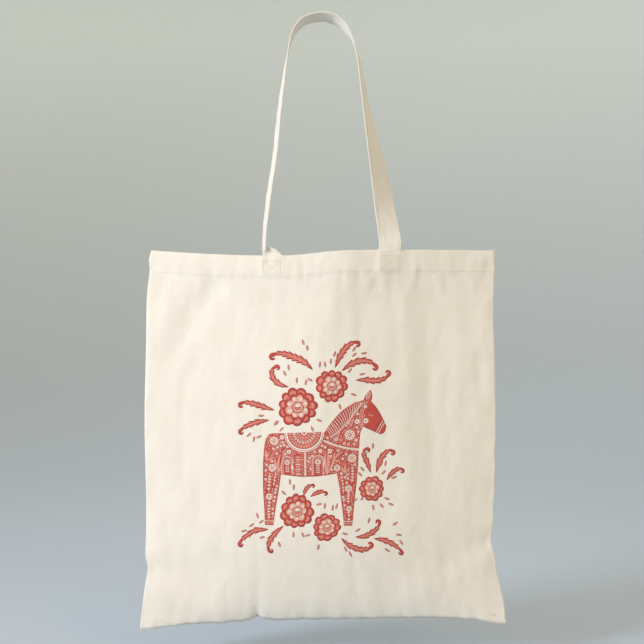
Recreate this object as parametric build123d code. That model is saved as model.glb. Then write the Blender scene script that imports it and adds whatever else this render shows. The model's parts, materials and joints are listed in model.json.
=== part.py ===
"""A cotton tote bag that hangs from one of its two shoulder handles, printed on its front with a folk horse.

The origin is the point where the front handle rests on a hook: the underside of the strap at the top of its arch.
+X is to the right as one faces the print, +Y points from the print to the back of the bag, and +Z is up.
The bag hangs from the front handle alone, so its lower edge swings forward until its weight is under the hook.
Its two panels are bent outward to the same radius, and every layer of the bag is a shell about that bend.
Millimetres and degrees throughout.
"""

from build123d import *
import math
import os

# ---- driving dimensions of the bag
BAG_WIDTH = 387.0  # flat width, seam to seam
BAG_HEIGHT = 400.0  # top edge to bottom seam
MOUTH_CHORD = 380.0  # straight distance between the side seams while the bag is open
BULGE = 30.0  # how far each panel stands out from the plane of the side seams
TAPER_HEIGHT = 72.0  # height over which the open body closes to the bottom seam
CLOTH = 0.6  # thickness of one layer of cotton
HEM_DEPTH = 24.0
HEM_FOLD = 1.0  # thickness of the turned-in layers of the hem
HEM_END_GAP = 7.0  # the turned-in layers stop this far from each side seam
SEAM_ALLOWANCE = 9.5
SEAM_THICKNESS = 1.2
THREAD = 0.35  # how far a thread stands out from the cloth
THREAD_WIDTH = 0.5
OVERLOCK_WIDTH = 4.5
LEAN = 8.7  # how far the hanging bag is turned from upright, with its weight under the hook

# ---- driving dimensions of the handles
STRAP_WIDTH = 24.0
STRAP = 1.2  # thickness of the folded strap
LEFT_STRAP_X = -52.9
RIGHT_STRAP_X = 73.0
HINGE_Z = -252.0  # the line on which the front handle folds against the hem
FRONT_HINGE_RISE = 1.2  # height of that line above the top edge of the bag
BACK_HINGE_RISE = 1.9
FOLD_CLEARANCE = 0.3
EDGE_STITCH_INSET = 2.5
WRAP_HEIGHT = 1.0  # thickness of a back strap where it passes over the top edge

# ---- the print, in millimetres right of and above its own centre
PRINT_CENTRE_Z = -210.0  # below the top edge
INK = 0.15
INK_GAP = 0.01

# ---- worked out from the dimensions above
BEND_RADIUS = MOUTH_CHORD**2 / (8 * BULGE) + BULGE / 2  # of the inner face of a panel
BODY_HEIGHT = BAG_HEIGHT - TAPER_HEIGHT


def rise_at(x):
    """How far the inner face of a panel stands out from the plane of the side seams, at x."""
    return BULGE - BEND_RADIUS + math.sqrt(BEND_RADIUS**2 - x**2)


STRAP_MID_RISE = (rise_at(LEFT_STRAP_X) + rise_at(RIGHT_STRAP_X)) / 2
SEAM_Y = STRAP_MID_RISE - HEM_FOLD - STRAP / 2  # plane of the side seams, behind the front hinge
WIDEST_RISE = rise_at(LEFT_STRAP_X + STRAP_WIDTH / 2)
BACK_HINGE_Y = SEAM_Y + CLOTH + WIDEST_RISE + FOLD_CLEARANCE + STRAP / 2

# ---- stations of the strap centre lines: x, z, and the turn of the width from depth (0) to across (90)
FRONT_LOOP = [
    (LEFT_STRAP_X, HINGE_Z, 90),
    (-53.3, -246.0, 90),
    (-56.6, -239.0, 64),
    (-60.2, -231.5, 30),
    (-61.6, -222.5, 9),
    (-59.0, -205.0, 0),
    (-53.7, -163.0, 0),
    (-48.0, -113.0, 0),
    (-43.4, -74.0, 0),
    (-38.3, -39.5, 0),
    (-31.3, -16.5, 0),
    (-21.1, -4.6, 0),
    (-9.8, -0.4, 0),
    (0.0, 0.6, 0),
    (10.5, -1.4, 0),
    (21.6, -8.6, 0),
    (30.6, -20.6, 0),
    (37.3, -39.5, 3),
    (42.4, -69.5, 9),
    (47.0, -97.5, 18),
    (51.8, -122.5, 30),
    (56.7, -148.5, 42),
    (61.8, -175.5, 54),
    (66.6, -204.5, 66),
    (70.7, -229.5, 79),
    (72.6, -246.0, 90),
    (RIGHT_STRAP_X, HINGE_Z, 90),
]
BACK_LOOP = [
    (LEFT_STRAP_X, 0.0, 90),
    (-53.6, -25.0, 80),
    (-53.4, -50.0, 66),
    (-52.0, -80.0, 44),
    (-49.4, -115.0, 20),
    (-46.0, -150.0, 5),
    (-41.6, -185.0, 0),
    (-35.6, -215.0, 0),
    (-26.6, -236.0, 0),
    (-14.0, -248.4, 0),
    (0.0, -252.0, 0),
    (15.0, -248.4, 0),
    (28.6, -236.0, 0),
    (39.0, -215.0, 0),
    (46.6, -185.0, 0),
    (53.4, -150.0, 5),
    (59.6, -115.0, 20),
    (65.0, -80.0, 44),
    (69.4, -50.0, 66),
    (72.0, -25.0, 80),
    (RIGHT_STRAP_X, 0.0, 90),
]


# ---- the bag's own upright frame: the front hinge line is y 0, the top edge is z 0
def bag_place():
    """Carries the upright bag to where it hangs, turned about the front hinge line."""
    return Pos(0, 0, HINGE_Z) * Rot(-LEAN, 0, 0) * Pos(0, 0, -FRONT_HINGE_RISE)


def back_hinge():
    """The line on which the back handle folds, where the bag hangs."""
    return (bag_place() * Pos(0, BACK_HINGE_Y, BACK_HINGE_RISE)).position


def layer(front, low, high, x0, x1, z0, z1):
    """A piece of a shell that follows a panel. low and high are heights over the panel's inner face."""
    height = z1 - z0
    out = -1 if front else 1
    axis_y = SEAM_Y + out * (BULGE - BEND_RADIUS)
    ring = Cylinder(BEND_RADIUS + high, height) - Cylinder(BEND_RADIUS + low, height)
    reach = 2 * BULGE
    block = Pos((x0 + x1) / 2, SEAM_Y + out * reach / 2, (z0 + z1) / 2) * Box(x1 - x0, reach + 4, height)
    return (Pos(0, axis_y, (z0 + z1) / 2) * ring) & block


def thin_section(front, chord, bulge, z):
    """A level slice through the closing part of a panel."""
    out = -1 if front else 1
    half = chord / 2
    inner = [(-half, 0), (0, bulge), (half, 0)]
    outer = [(x, rise + CLOTH) for x, rise in inner]
    points = [[Vector(x, SEAM_Y + out * rise, z) for x, rise in side] for side in (inner, outer)]
    edges = [
        ThreePointArc(*points[0]),
        Line(points[0][2], points[1][2]),
        ThreePointArc(*reversed(points[1])),
        Line(points[1][0], points[0][0]),
    ]
    return make_face(Wire(edges))


def panel(front):
    """One cotton panel: a bent sheet that closes to the straight bottom seam."""
    body = layer(front, 0, CLOTH, -MOUTH_CHORD / 2, MOUTH_CHORD / 2, -BODY_HEIGHT, 0)
    steps = [(0.0, 0.0), (0.35, 0.18), (0.7, 0.52), (1.0, 0.96)]
    slices = [
        thin_section(
            front,
            MOUTH_CHORD + (BAG_WIDTH - MOUTH_CHORD) * closed,
            BULGE * (1 - closed),
            -BODY_HEIGHT - TAPER_HEIGHT * down,
        )
        for down, closed in steps
    ]
    lower = loft(slices, ruled=True)
    return body + lower


def hem_fold(front):
    """The layers of the panel turned inside to make the hem."""
    half = MOUTH_CHORD / 2 - HEM_END_GAP
    return layer(front, -HEM_FOLD, 0, -half, half, -HEM_DEPTH, 0)


def hem_thread(front):
    """The sewing line that holds the hem."""
    half = MOUTH_CHORD / 2 - HEM_END_GAP
    low = -HEM_DEPTH + 2
    return layer(front, CLOTH, CLOTH + THREAD, -half, half, low, low + THREAD_WIDTH)


def handle_end(front, x):
    """The sewn end of a strap inside the hem. The back straps also pass over the top edge."""
    x0, x1 = x - STRAP_WIDTH / 2, x + STRAP_WIDTH / 2
    inner = -HEM_FOLD - STRAP
    end = layer(front, inner, -HEM_FOLD, x0, x1, -HEM_DEPTH, 0)
    if not front:
        end = end + layer(front, inner, CLOTH, x0, x1, 0, WRAP_HEIGHT)
    return end


def on_front(sketch, low, high, front=True):
    """A flat drawing in x and z, laid on a panel as a thin raised layer."""
    box = sketch.bounding_box()
    skin = layer(front, low, high, box.min.X - 1, box.max.X + 1, box.min.Y - 1, box.max.Y + 1)
    return skin & extrude(Plane.XZ * sketch, amount=3 * BULGE + 2 * SEAM_Y, both=True)


def tack(front, x):
    """A sewn box with a cross, which fastens a strap end to the hem."""
    width, height = STRAP_WIDTH - 5, HEM_DEPTH - 8
    middle = -HEM_DEPTH / 2 + 1
    frame = Rectangle(width, height) - Rectangle(width - 2 * THREAD_WIDTH, height - 2 * THREAD_WIDTH)
    tilt = math.degrees(math.atan2(height, width))
    length = math.hypot(width, height) - 2 * THREAD_WIDTH
    cross = Rot(0, 0, tilt) * Rectangle(length, THREAD_WIDTH) + Rot(0, 0, -tilt) * Rectangle(length, THREAD_WIDTH)
    return on_front(Pos(x, middle) * (frame + cross), CLOTH, CLOTH + THREAD, front)


def side_outline(sign, edge, width, top, bottom):
    """A strip beside a side seam: edge is its distance inside the seam, and it flares with the bag."""
    flare = (BAG_WIDTH - MOUTH_CHORD) / 2 * (-BODY_HEIGHT - bottom) / TAPER_HEIGHT
    outer = sign * (MOUTH_CHORD / 2 - edge)
    inner = outer - sign * width
    if bottom >= -BODY_HEIGHT:
        return Polyline((outer, top), (outer, bottom), (inner, bottom), (inner, top), close=True)
    lower = sign * flare
    return Polyline(
        (outer, top),
        (outer, -BODY_HEIGHT),
        (outer + lower, bottom),
        (inner + lower, bottom),
        (inner, -BODY_HEIGHT),
        (inner, top),
        close=True,
    )


def plate(outline, y0, y1):
    """A flat strip in the plane of the side seams."""
    face = Plane.XZ * make_face(outline)
    return Pos(0, SEAM_Y + y1, 0) * extrude(face, amount=y1 - y0)


def side_allowance(sign):
    """The cut edges of both panels, turned inside the side seam."""
    outline = side_outline(sign, 0.4, SEAM_ALLOWANCE, -3, -BAG_HEIGHT + 4)
    return plate(outline, -SEAM_THICKNESS / 2, SEAM_THICKNESS / 2)


def side_overlock(sign):
    """The thread that binds those edges, on both faces."""
    edge = 0.4 + SEAM_ALLOWANCE - OVERLOCK_WIDTH
    outline = side_outline(sign, edge, OVERLOCK_WIDTH, -HEM_DEPTH - 2, -BODY_HEIGHT)
    half = SEAM_THICKNESS / 2
    return [plate(outline, half, half + THREAD), plate(outline, -half - THREAD, -half)]


def bottom_strip(low, high, y0, y1):
    """A strip above the bottom seam, between the two side seams."""
    half = MOUTH_CHORD / 2 - SEAM_ALLOWANCE - 1
    z0, z1 = -BAG_HEIGHT + low, -BAG_HEIGHT + high
    return plate(Polyline((-half, z0), (half, z0), (half, z1), (-half, z1), close=True), y0, y1)


# ---- the handles
def station_planes(stations, hinge):
    """A plane across the strap at each station: its x runs over the width and its y out of the loop."""
    points = [Vector(x, hinge.Y, z) for x, z, _ in stations]
    depth = Vector(0, 1, 0)
    planes = []
    for i, (point, station) in enumerate(zip(points, stations)):
        before, after = points[max(i - 1, 0)], points[min(i + 1, len(points) - 1)]
        along = (after - before).normalized()
        if i in (0, len(points) - 1):
            along = Vector(0, 0, 1 if along.Z > 0 else -1)
        turn = math.radians(station[2])
        wide = depth * math.cos(turn) + along.cross(depth) * math.sin(turn)
        planes.append(Plane(origin=point, x_dir=wide, z_dir=along))
    return planes


def strap(stations, hinge):
    """The free loop of a handle, with a rounded fold on its hinge line at each end."""
    planes = station_planes(stations, hinge)
    loop = loft([plane * Rectangle(STRAP_WIDTH, STRAP) for plane in planes], ruled=True)
    for x in (LEFT_STRAP_X, RIGHT_STRAP_X):
        fold = Pos(x, hinge.Y, hinge.Z) * Rot(0, 90, 0) * Cylinder(STRAP / 2, STRAP_WIDTH)
        loop = loop + fold
    return loop


def thread(planes, inner):
    """One sewing line on the outside of a strap: a four-sided rod whose width starts at inner."""
    outer = inner + THREAD_WIDTH
    low, high = STRAP / 2, STRAP / 2 + THREAD
    corners = [(inner, low), (outer, low), (outer, high), (inner, high)]
    rings = [[plane.origin + plane.x_dir * x + plane.y_dir * y for x, y in corners] for plane in planes]
    faces = [Face(Wire.make_polygon(ring)) for ring in (rings[0], rings[-1])]
    for one, other in zip(rings, rings[1:]):
        for i in range(len(corners)):
            j = (i + 1) % len(corners)
            faces.append(Face(Wire.make_polygon([one[i], one[j], other[j]])))
            faces.append(Face(Wire.make_polygon([one[i], other[j], other[i]])))
    return Solid(Shell(faces))


def edge_threads(stations, hinge):
    """Two sewing lines along the outside of a strap."""
    planes = station_planes(stations, hinge)[1:-1]
    inset = STRAP_WIDTH / 2 - EDGE_STITCH_INSET
    return [thread(planes, -inset), thread(planes, inset - THREAD_WIDTH)]


def back_stations():
    """The back loop, moved to hang from the back hinge."""
    return [(x, z + back_hinge().Z, turn) for x, z, turn in BACK_LOOP]


# ---- the print
def horse_sketch():
    """The outline of a carved folk horse that stands on straight legs and faces right."""
    rump_and_hind_leg = Spline(
        (-57.0, 14.0), (-61.0, 6.0), (-63.2, -14.0), (-63.6, -42.0), (-62.0, -65.0), (-61.0, -82.5)
    )
    hind_hoof = Line((-61.0, -82.5), (-52.0, -82.5))
    hind_inside = Spline((-52.0, -82.5), (-49.4, -62.0), (-46.4, -43.0), (-44.4, -28.4))
    belly = Spline((-44.4, -28.4), (-24.0, -31.4), (-4.0, -31.2), (15.0, -28.4))
    fore_inside = Spline((15.0, -28.4), (18.6, -48.0), (21.4, -66.0), (23.4, -84.0))
    fore_hoof = Line((23.4, -84.0), (32.4, -84.0))
    chest = Spline((32.4, -84.0), (34.6, -54.0), (37.2, -24.0), (38.6, 0.0), (40.0, 15.0), (43.0, 20.6))
    jaw = Spline((43.0, 20.6), (50.0, 17.4), (61.0, 12.4))
    muzzle = Spline((61.0, 12.4), (65.6, 15.0), (67.4, 21.0))
    face = Spline((67.4, 21.0), (62.4, 32.0), (57.0, 41.0), (51.4, 47.4))
    ear = Polyline((51.4, 47.4), (50.0, 59.6), (43.2, 48.8))
    mane = Spline((43.2, 48.8), (33.0, 46.0), (20.0, 37.4), (9.4, 26.0), (2.0, 15.4))
    back = Spline((2.0, 15.4), (-20.0, 15.0), (-50.0, 15.4), (-57.0, 14.0))
    edges = [rump_and_hind_leg, hind_hoof, hind_inside, belly, fore_inside, fore_hoof]
    edges += [chest, jaw, muzzle, face, ear, mane, back]
    return make_face(Wire([edge for piece in edges for edge in piece.edges()]))


# x, z, radius, and the directions in which loose seeds lie
FLOWERS = [
    (-26.7, 43.0, 21.0, (-35, -55, 70, 92, 216, 236)),
    (9.4, 64.5, 17.5, (-68, -22, 108, 38, 165)),
    (52.4, -45.0, 13.6, (-35, -60, -85, 215, 128, 56)),
    (-27.0, -68.2, 18.4, (18, 100, 124, -75, -98)),
    (5.2, -85.3, 15.0, (72, 98, -20, -112, 205)),
]
PETALS = 10

# start x, z, tip x, z, and how far the middle bows to the left of the line from start to tip
LEAVES = [
    (-51.4, 39.6, -87.0, 48.0, 6.0),
    (-56.0, 29.0, -88.0, 15.0, -6.0),
    (-37.0, 62.5, -50.0, 84.0, 10.0),
    (-11.4, 82.4, -54.0, 96.0, -9.0),
    (13.6, 84.6, 37.0, 110.0, 6.0),
    (20.6, 81.0, 57.0, 82.0, 10.0),
    (36.4, 70.5, 69.0, 80.0, -8.0),
    (50.0, -27.0, 44.0, -3.0, -4.0),
    (56.4, -27.0, 74.0, -4.0, 7.0),
    (67.6, -34.6, 85.0, -24.0, 4.0),
    (-19.6, -51.4, -8.4, -41.0, 4.0),
    (-12.6, -53.4, 5.4, -47.8, 5.0),
    (-56.0, -87.6, -86.6, -104.0, -6.0),
    (-40.2, -84.0, -56.0, -111.6, -5.0),
    (20.6, -97.4, 51.6, -103.0, -8.0),
    (36.6, -96.4, 60.4, -78.6, -7.0),
    (56.4, -98.6, 84.0, -114.0, 7.0),
]
LEAF_WIDTH = 0.16  # of its length
SEED_LENGTH = 4.6
SEED_WIDTH = 1.5
SEED_RING_GAP = 5.0  # from the petals of a flower to the middle of its seeds


def flower_sketch(x, z, radius):
    """A rosette whose edge is a ring of round petals."""
    step = 2 * math.pi / PETALS
    valley = radius * 0.9
    arcs = []
    for i in range(PETALS):
        ends = [(valley * math.cos(a), valley * math.sin(a)) for a in (i * step, (i + 1) * step)]
        top = (radius * math.cos((i + 0.5) * step), radius * math.sin((i + 0.5) * step))
        arcs.append(ThreePointArc(ends[0], top, ends[1]))
    return Pos(x, z) * make_face(Wire(arcs))


def leaf_sketch(x0, z0, x1, z1, bow):
    """A bowed leaf from its pointed start to its pointed tip."""
    length = math.hypot(x1 - x0, z1 - z0)
    left = (-(z1 - z0) / length, (x1 - x0) / length)
    half = LEAF_WIDTH * length / 2

    def middle(offset):
        return ((x0 + x1) / 2 + left[0] * offset, (z0 + z1) / 2 + left[1] * offset)

    sides = [
        ThreePointArc((x0, z0), middle(bow + half), (x1, z1)),
        ThreePointArc((x1, z1), middle(bow - half), (x0, z0)),
    ]
    return make_face(Wire(sides))


def seed_sketches():
    """Small loose seeds that point away from each flower."""
    seeds = []
    for x, z, radius, directions in FLOWERS:
        for degrees in directions:
            a = math.radians(degrees)
            reach = radius + SEED_RING_GAP
            place = Pos(x + reach * math.cos(a), z + reach * math.sin(a)) * Rot(0, 0, degrees)
            seeds.append(place * Ellipse(SEED_LENGTH / 2, SEED_WIDTH / 2))
    return seeds


def printed(sketches):
    """Ink on the front panel, as one thin raised piece for each drawing."""
    low = CLOTH + INK_GAP
    return [on_front(Pos(0, PRINT_CENTRE_Z) * s, low, low + INK) for s in sketches]


# ---- the whole assembly
def bag_nodes():
    """Every piece that moves with the body of the bag, in the upright frame."""
    nodes = {}
    for side in ("front", "back"):
        front = side == "front"
        nodes[f"{side}_panel"] = [panel(front)]
        nodes[f"{side}_hem_fold"] = [hem_fold(front)]
        nodes[f"{side}_hem_stitching"] = [hem_thread(front)]
        for name, x in (("left", LEFT_STRAP_X), ("right", RIGHT_STRAP_X)):
            nodes[f"{side}_{name}_handle_end"] = [handle_end(front, x)]
            nodes[f"{side}_{name}_box_stitch"] = [tack(front, x)]
    for name, sign in (("left", -1), ("right", 1)):
        nodes[f"{name}_seam_allowance"] = [side_allowance(sign)]
        nodes[f"{name}_seam_overlock"] = side_overlock(sign)
    half = SEAM_THICKNESS / 2
    nodes["bottom_seam_allowance"] = [bottom_strip(0.5, SEAM_ALLOWANCE, -half, half)]
    low, high = SEAM_ALLOWANCE - OVERLOCK_WIDTH + 1, SEAM_ALLOWANCE
    nodes["bottom_seam_overlock"] = [
        bottom_strip(low, high, half, half + THREAD),
        bottom_strip(low, high, -half - THREAD, -half),
    ]
    nodes["horse_print"] = printed([horse_sketch()])
    nodes["flower_prints"] = printed([flower_sketch(*flower[:3]) for flower in FLOWERS])
    nodes["leaf_prints"] = printed([leaf_sketch(*leaf) for leaf in LEAVES])
    nodes["seed_prints"] = printed(seed_sketches())
    return nodes


def main():
    os.makedirs("parts", exist_ok=True)
    front_hinge = Vector(0, 0, HINGE_Z)
    place = bag_place()
    nodes = {name: [place * piece for piece in pieces] for name, pieces in bag_nodes().items()}
    nodes["front_handle_strap"] = [strap(FRONT_LOOP, front_hinge)]
    nodes["front_handle_stitching"] = edge_threads(FRONT_LOOP, front_hinge)
    nodes["back_handle_strap"] = [strap(back_stations(), back_hinge())]
    nodes["back_handle_stitching"] = edge_threads(back_stations(), back_hinge())
    for name, pieces in nodes.items():
        solids = [solid for piece in pieces for solid in piece.solids()]
        shape = solids[0] if len(solids) == 1 else Compound(children=solids)
        export_step(shape, f"parts/{name}.step")
    hinge = back_hinge()
    print(f"back hinge line: y {hinge.Y:.3f} z {hinge.Z:.3f}, plane of the side seams: y {SEAM_Y:.3f}")


main()
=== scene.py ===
"""A cotton tote bag printed with a folk horse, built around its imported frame.

Cloth, straps and print are worked out in millimetres. A place on the cotton is u across the flat cut from its
middle and v down from its top edge. Meshes are made in metres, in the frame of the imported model.
"""

import json
import math
import random

import bpy
import numpy as np
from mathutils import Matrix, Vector
from mathutils.geometry import delaunay_2d_cdt


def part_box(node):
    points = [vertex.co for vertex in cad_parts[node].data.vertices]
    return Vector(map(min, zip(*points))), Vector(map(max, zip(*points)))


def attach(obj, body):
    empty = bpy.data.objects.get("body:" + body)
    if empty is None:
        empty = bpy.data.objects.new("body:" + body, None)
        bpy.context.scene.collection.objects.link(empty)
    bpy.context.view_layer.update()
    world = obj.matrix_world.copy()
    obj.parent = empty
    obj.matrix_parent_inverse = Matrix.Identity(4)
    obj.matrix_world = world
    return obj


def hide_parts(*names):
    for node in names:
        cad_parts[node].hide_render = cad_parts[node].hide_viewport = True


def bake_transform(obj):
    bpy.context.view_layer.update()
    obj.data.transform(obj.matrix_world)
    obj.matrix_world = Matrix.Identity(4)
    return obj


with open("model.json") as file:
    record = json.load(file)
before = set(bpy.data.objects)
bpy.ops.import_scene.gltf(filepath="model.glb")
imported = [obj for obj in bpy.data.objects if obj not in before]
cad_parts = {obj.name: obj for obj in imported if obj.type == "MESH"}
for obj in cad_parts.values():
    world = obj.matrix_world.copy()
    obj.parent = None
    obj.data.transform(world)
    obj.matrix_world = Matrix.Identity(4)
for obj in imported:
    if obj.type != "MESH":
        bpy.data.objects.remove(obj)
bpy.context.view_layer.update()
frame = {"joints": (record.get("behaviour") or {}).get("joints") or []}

# ---- the cut of the bag, in millimetres
MM = 0.001
JOINTS = {joint["name"]: joint for joint in frame["joints"]}
HINGE = np.array(JOINTS["bag_swing"]["pos_m"]) / MM
BACK_HINGE = np.array(JOINTS["back_handle_swing"]["pos_m"]) / MM
LEAN = math.radians(8.7)  # the hanging bag is turned this far from upright
HINGE_RISE = 1.2  # of the front hinge over the top edge
SEAM_Y = 25.1  # plane of the side seams, behind the front hinge
WIDTH, HEIGHT = 387.0, 400.0
HALF = WIDTH / 2
BULGE = 30.0
CLOTH = 0.6
HEM = 24.0
HEM_STITCH = 22.0
STRAP_WIDTH, STRAP = 24.0, 1.2
STRAP_U = {"left": -55.0, "right": 73.0}
THREAD = 0.28  # radius of the sewing thread


# ---- small helpers
def curve(knots, at):
    """A smooth line through (place, value) knots, read at each place in at."""
    knots = np.asarray(knots, float)
    x, y = knots[:, 0], knots[:, 1:]
    slope = np.gradient(y, x, axis=0)
    at = np.clip(np.asarray(at, float), x[0], x[-1])
    i = np.clip(np.searchsorted(x, at) - 1, 0, len(x) - 2)
    gap = x[i + 1] - x[i]
    t = ((at - x[i]) / gap)[..., None]
    gap = gap[..., None]
    h00, h10 = 2 * t**3 - 3 * t**2 + 1, t**3 - 2 * t**2 + t
    h01, h11 = 3 * t**2 - 2 * t**3, t**3 - t**2
    value = h00 * y[i] + h10 * gap * slope[i] + h01 * y[i + 1] + h11 * gap * slope[i + 1]
    return value[..., 0] if y.shape[1] == 1 else value


def smooth(low, high, x):
    """0 below low, 1 above high, and eased between."""
    t = np.clip((x - low) / (high - low), 0, 1)
    return t * t * (3 - 2 * t)


def bump(x, middle, width):
    return np.exp(-(((x - middle) / width) ** 2))


def unit(vectors):
    return vectors / np.maximum(np.linalg.norm(vectors, axis=-1, keepdims=True), 1e-9)


def pair(a, b):
    """Two coordinates as one array of flat points."""
    return np.stack(np.broadcast_arrays(a, b), -1)


def run_length(points):
    """The distance along a line of points, from its start."""
    return np.concatenate([[0], np.cumsum(np.linalg.norm(np.diff(points, axis=0), axis=1))])


def hang(points):
    """Carries points of the upright bag, whose top edge is z 0, to where it hangs."""
    x, y, z = np.moveaxis(np.asarray(points, float), -1, 0)
    z = z - HINGE_RISE
    c, s = math.cos(LEAN), math.sin(LEAN)
    return np.stack([x + HINGE[0], y * c + z * s + HINGE[1], z * c - y * s + HINGE[2]], -1)


def swell(u, v, count, wavelength, seed):
    """A gentle uneven field of height about 1, made of waves in many directions."""
    rng = np.random.default_rng(seed)
    total = np.zeros(np.broadcast(u, v).shape)
    for _ in range(count):
        angle, phase = rng.uniform(0, math.tau, 2)
        k = math.tau / (wavelength * rng.uniform(0.6, 1.6))
        total += np.sin(k * (u * math.cos(angle) + v * math.sin(angle)) + phase)
    return total / math.sqrt(count / 2)


def add_mesh(name, points, faces, materials, flat=None, material_index=None):
    """A smooth mesh piece from points in millimetres. flat is each point's place on the cut cloth."""
    mesh = bpy.data.meshes.new(name)
    mesh.from_pydata((np.asarray(points).reshape(-1, 3) * MM).tolist(), [], [list(f) for f in faces])
    for material in materials:
        mesh.materials.append(material)
    mesh.polygons.foreach_set("use_smooth", [True] * len(mesh.polygons))
    if material_index is not None:
        mesh.polygons.foreach_set("material_index", list(material_index))
    if flat is not None:
        place = np.zeros((len(mesh.vertices), 3), np.float32)
        place[:, :2] = np.asarray(flat).reshape(-1, 2) * MM
        mesh.attributes.new("flat", "FLOAT_VECTOR", "POINT").data.foreach_set("vector", place.ravel())
    mesh.update()
    piece = bpy.data.objects.new(name, mesh)
    bpy.context.scene.collection.objects.link(piece)
    return piece


def grid_faces(rows, columns, flip=False, wrap=False, start=0):
    """Four-sided faces over a grid of points; wrap joins its last column to its first."""
    faces = []
    for r in range(rows - 1):
        for c in range(columns if wrap else columns - 1):
            d = (c + 1) % columns
            face = (r * columns + c, r * columns + d, (r + 1) * columns + d, (r + 1) * columns + c)
            faces.append(tuple(start + i for i in (face[::-1] if flip else face)))
    return faces


def tube_faces(rows, columns, start=0):
    """Faces of a tube over a grid of points, with a cap at each end."""
    last = start + (rows - 1) * columns
    caps = [tuple(range(start, start + columns))[::-1], tuple(range(last, last + columns))]
    return grid_faces(rows, columns, wrap=True, start=start) + caps


def thicken(piece, thickness, offset=0.0):
    """Gives a sheet its thickness."""
    solid = piece.modifiers.new("thickness", "SOLIDIFY")
    solid.thickness, solid.offset = thickness * MM, offset
    solid.use_even_offset = False
    return piece


# ---- materials
def new_material(name, roughness, sheen=0.0):
    material = bpy.data.materials.new(name)
    material.use_nodes = True
    shader = material.node_tree.nodes["Principled BSDF"]
    shader.inputs["Roughness"].default_value = roughness
    shader.inputs["Specular IOR Level"].default_value = 0.25
    shader.inputs["Sheen Weight"].default_value = sheen
    shader.inputs["Sheen Roughness"].default_value = 0.6
    return material, material.node_tree, shader


def node(tree, kind, inputs=(), **settings):
    """A shader node; inputs are (socket, value or output socket) pairs."""
    made = tree.nodes.new(kind)
    for key, value in settings.items():
        setattr(made, key, value)
    for socket, value in inputs:
        if isinstance(value, bpy.types.NodeSocket):
            tree.links.new(value, made.inputs[socket])
        else:
            made.inputs[socket].default_value = value
    return made


def calc(tree, operation, a, b=0.0):
    return node(tree, "ShaderNodeMath", [(0, a), (1, b)], operation=operation).outputs[0]


def noise(tree, vector, scale, detail=2.0, stretch=(1.0, 1.0, 1.0)):
    """Noise over the cloth; stretch squeezes it along u, v and depth."""
    place = node(tree, "ShaderNodeVectorMath", [(0, vector), (1, stretch)], operation="MULTIPLY").outputs[0]
    inputs = [("Vector", place), ("Scale", scale), ("Detail", detail)]
    return node(tree, "ShaderNodeTexNoise", inputs).outputs["Fac"]


def mix_colour(tree, share, a, b):
    made = node(tree, "ShaderNodeMix", data_type="RGBA")
    for socket, value in ((made.inputs["Factor"], share), (made.inputs["A"], a), (made.inputs["B"], b)):
        if isinstance(value, bpy.types.NodeSocket):
            tree.links.new(value, socket)
        else:
            socket.default_value = value
    return made.outputs["Result"]


def ramp(tree, value, low, high, to_low=0.0, to_high=1.0):
    pairs = [("Value", value), ("From Min", low), ("From Max", high), ("To Min", to_low), ("To Max", to_high)]
    return node(tree, "ShaderNodeMapRange", pairs).outputs[0]


def weave_height(tree, place, pitch):
    """The height of a plain weave: each thread goes over one and under the next."""
    split = node(tree, "ShaderNodeSeparateXYZ", [(0, place)])
    waves = [calc(tree, "SINE", calc(tree, "MULTIPLY", split.outputs[i], math.pi / pitch)) for i in (0, 1)]
    over = calc(tree, "GREATER_THAN", calc(tree, "MULTIPLY", waves[0], waves[1]), 0.0)
    under = calc(tree, "SUBTRACT", 1.0, over)
    heights = [calc(tree, "ABSOLUTE", wave) for wave in waves]
    ridges = [calc(tree, "MULTIPLY", *both) for both in zip((over, under), heights)]
    return calc(tree, "ADD", *ridges)


def shaded(colour, share):
    return tuple(share * c for c in colour[:3]) + (1.0,)


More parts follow.
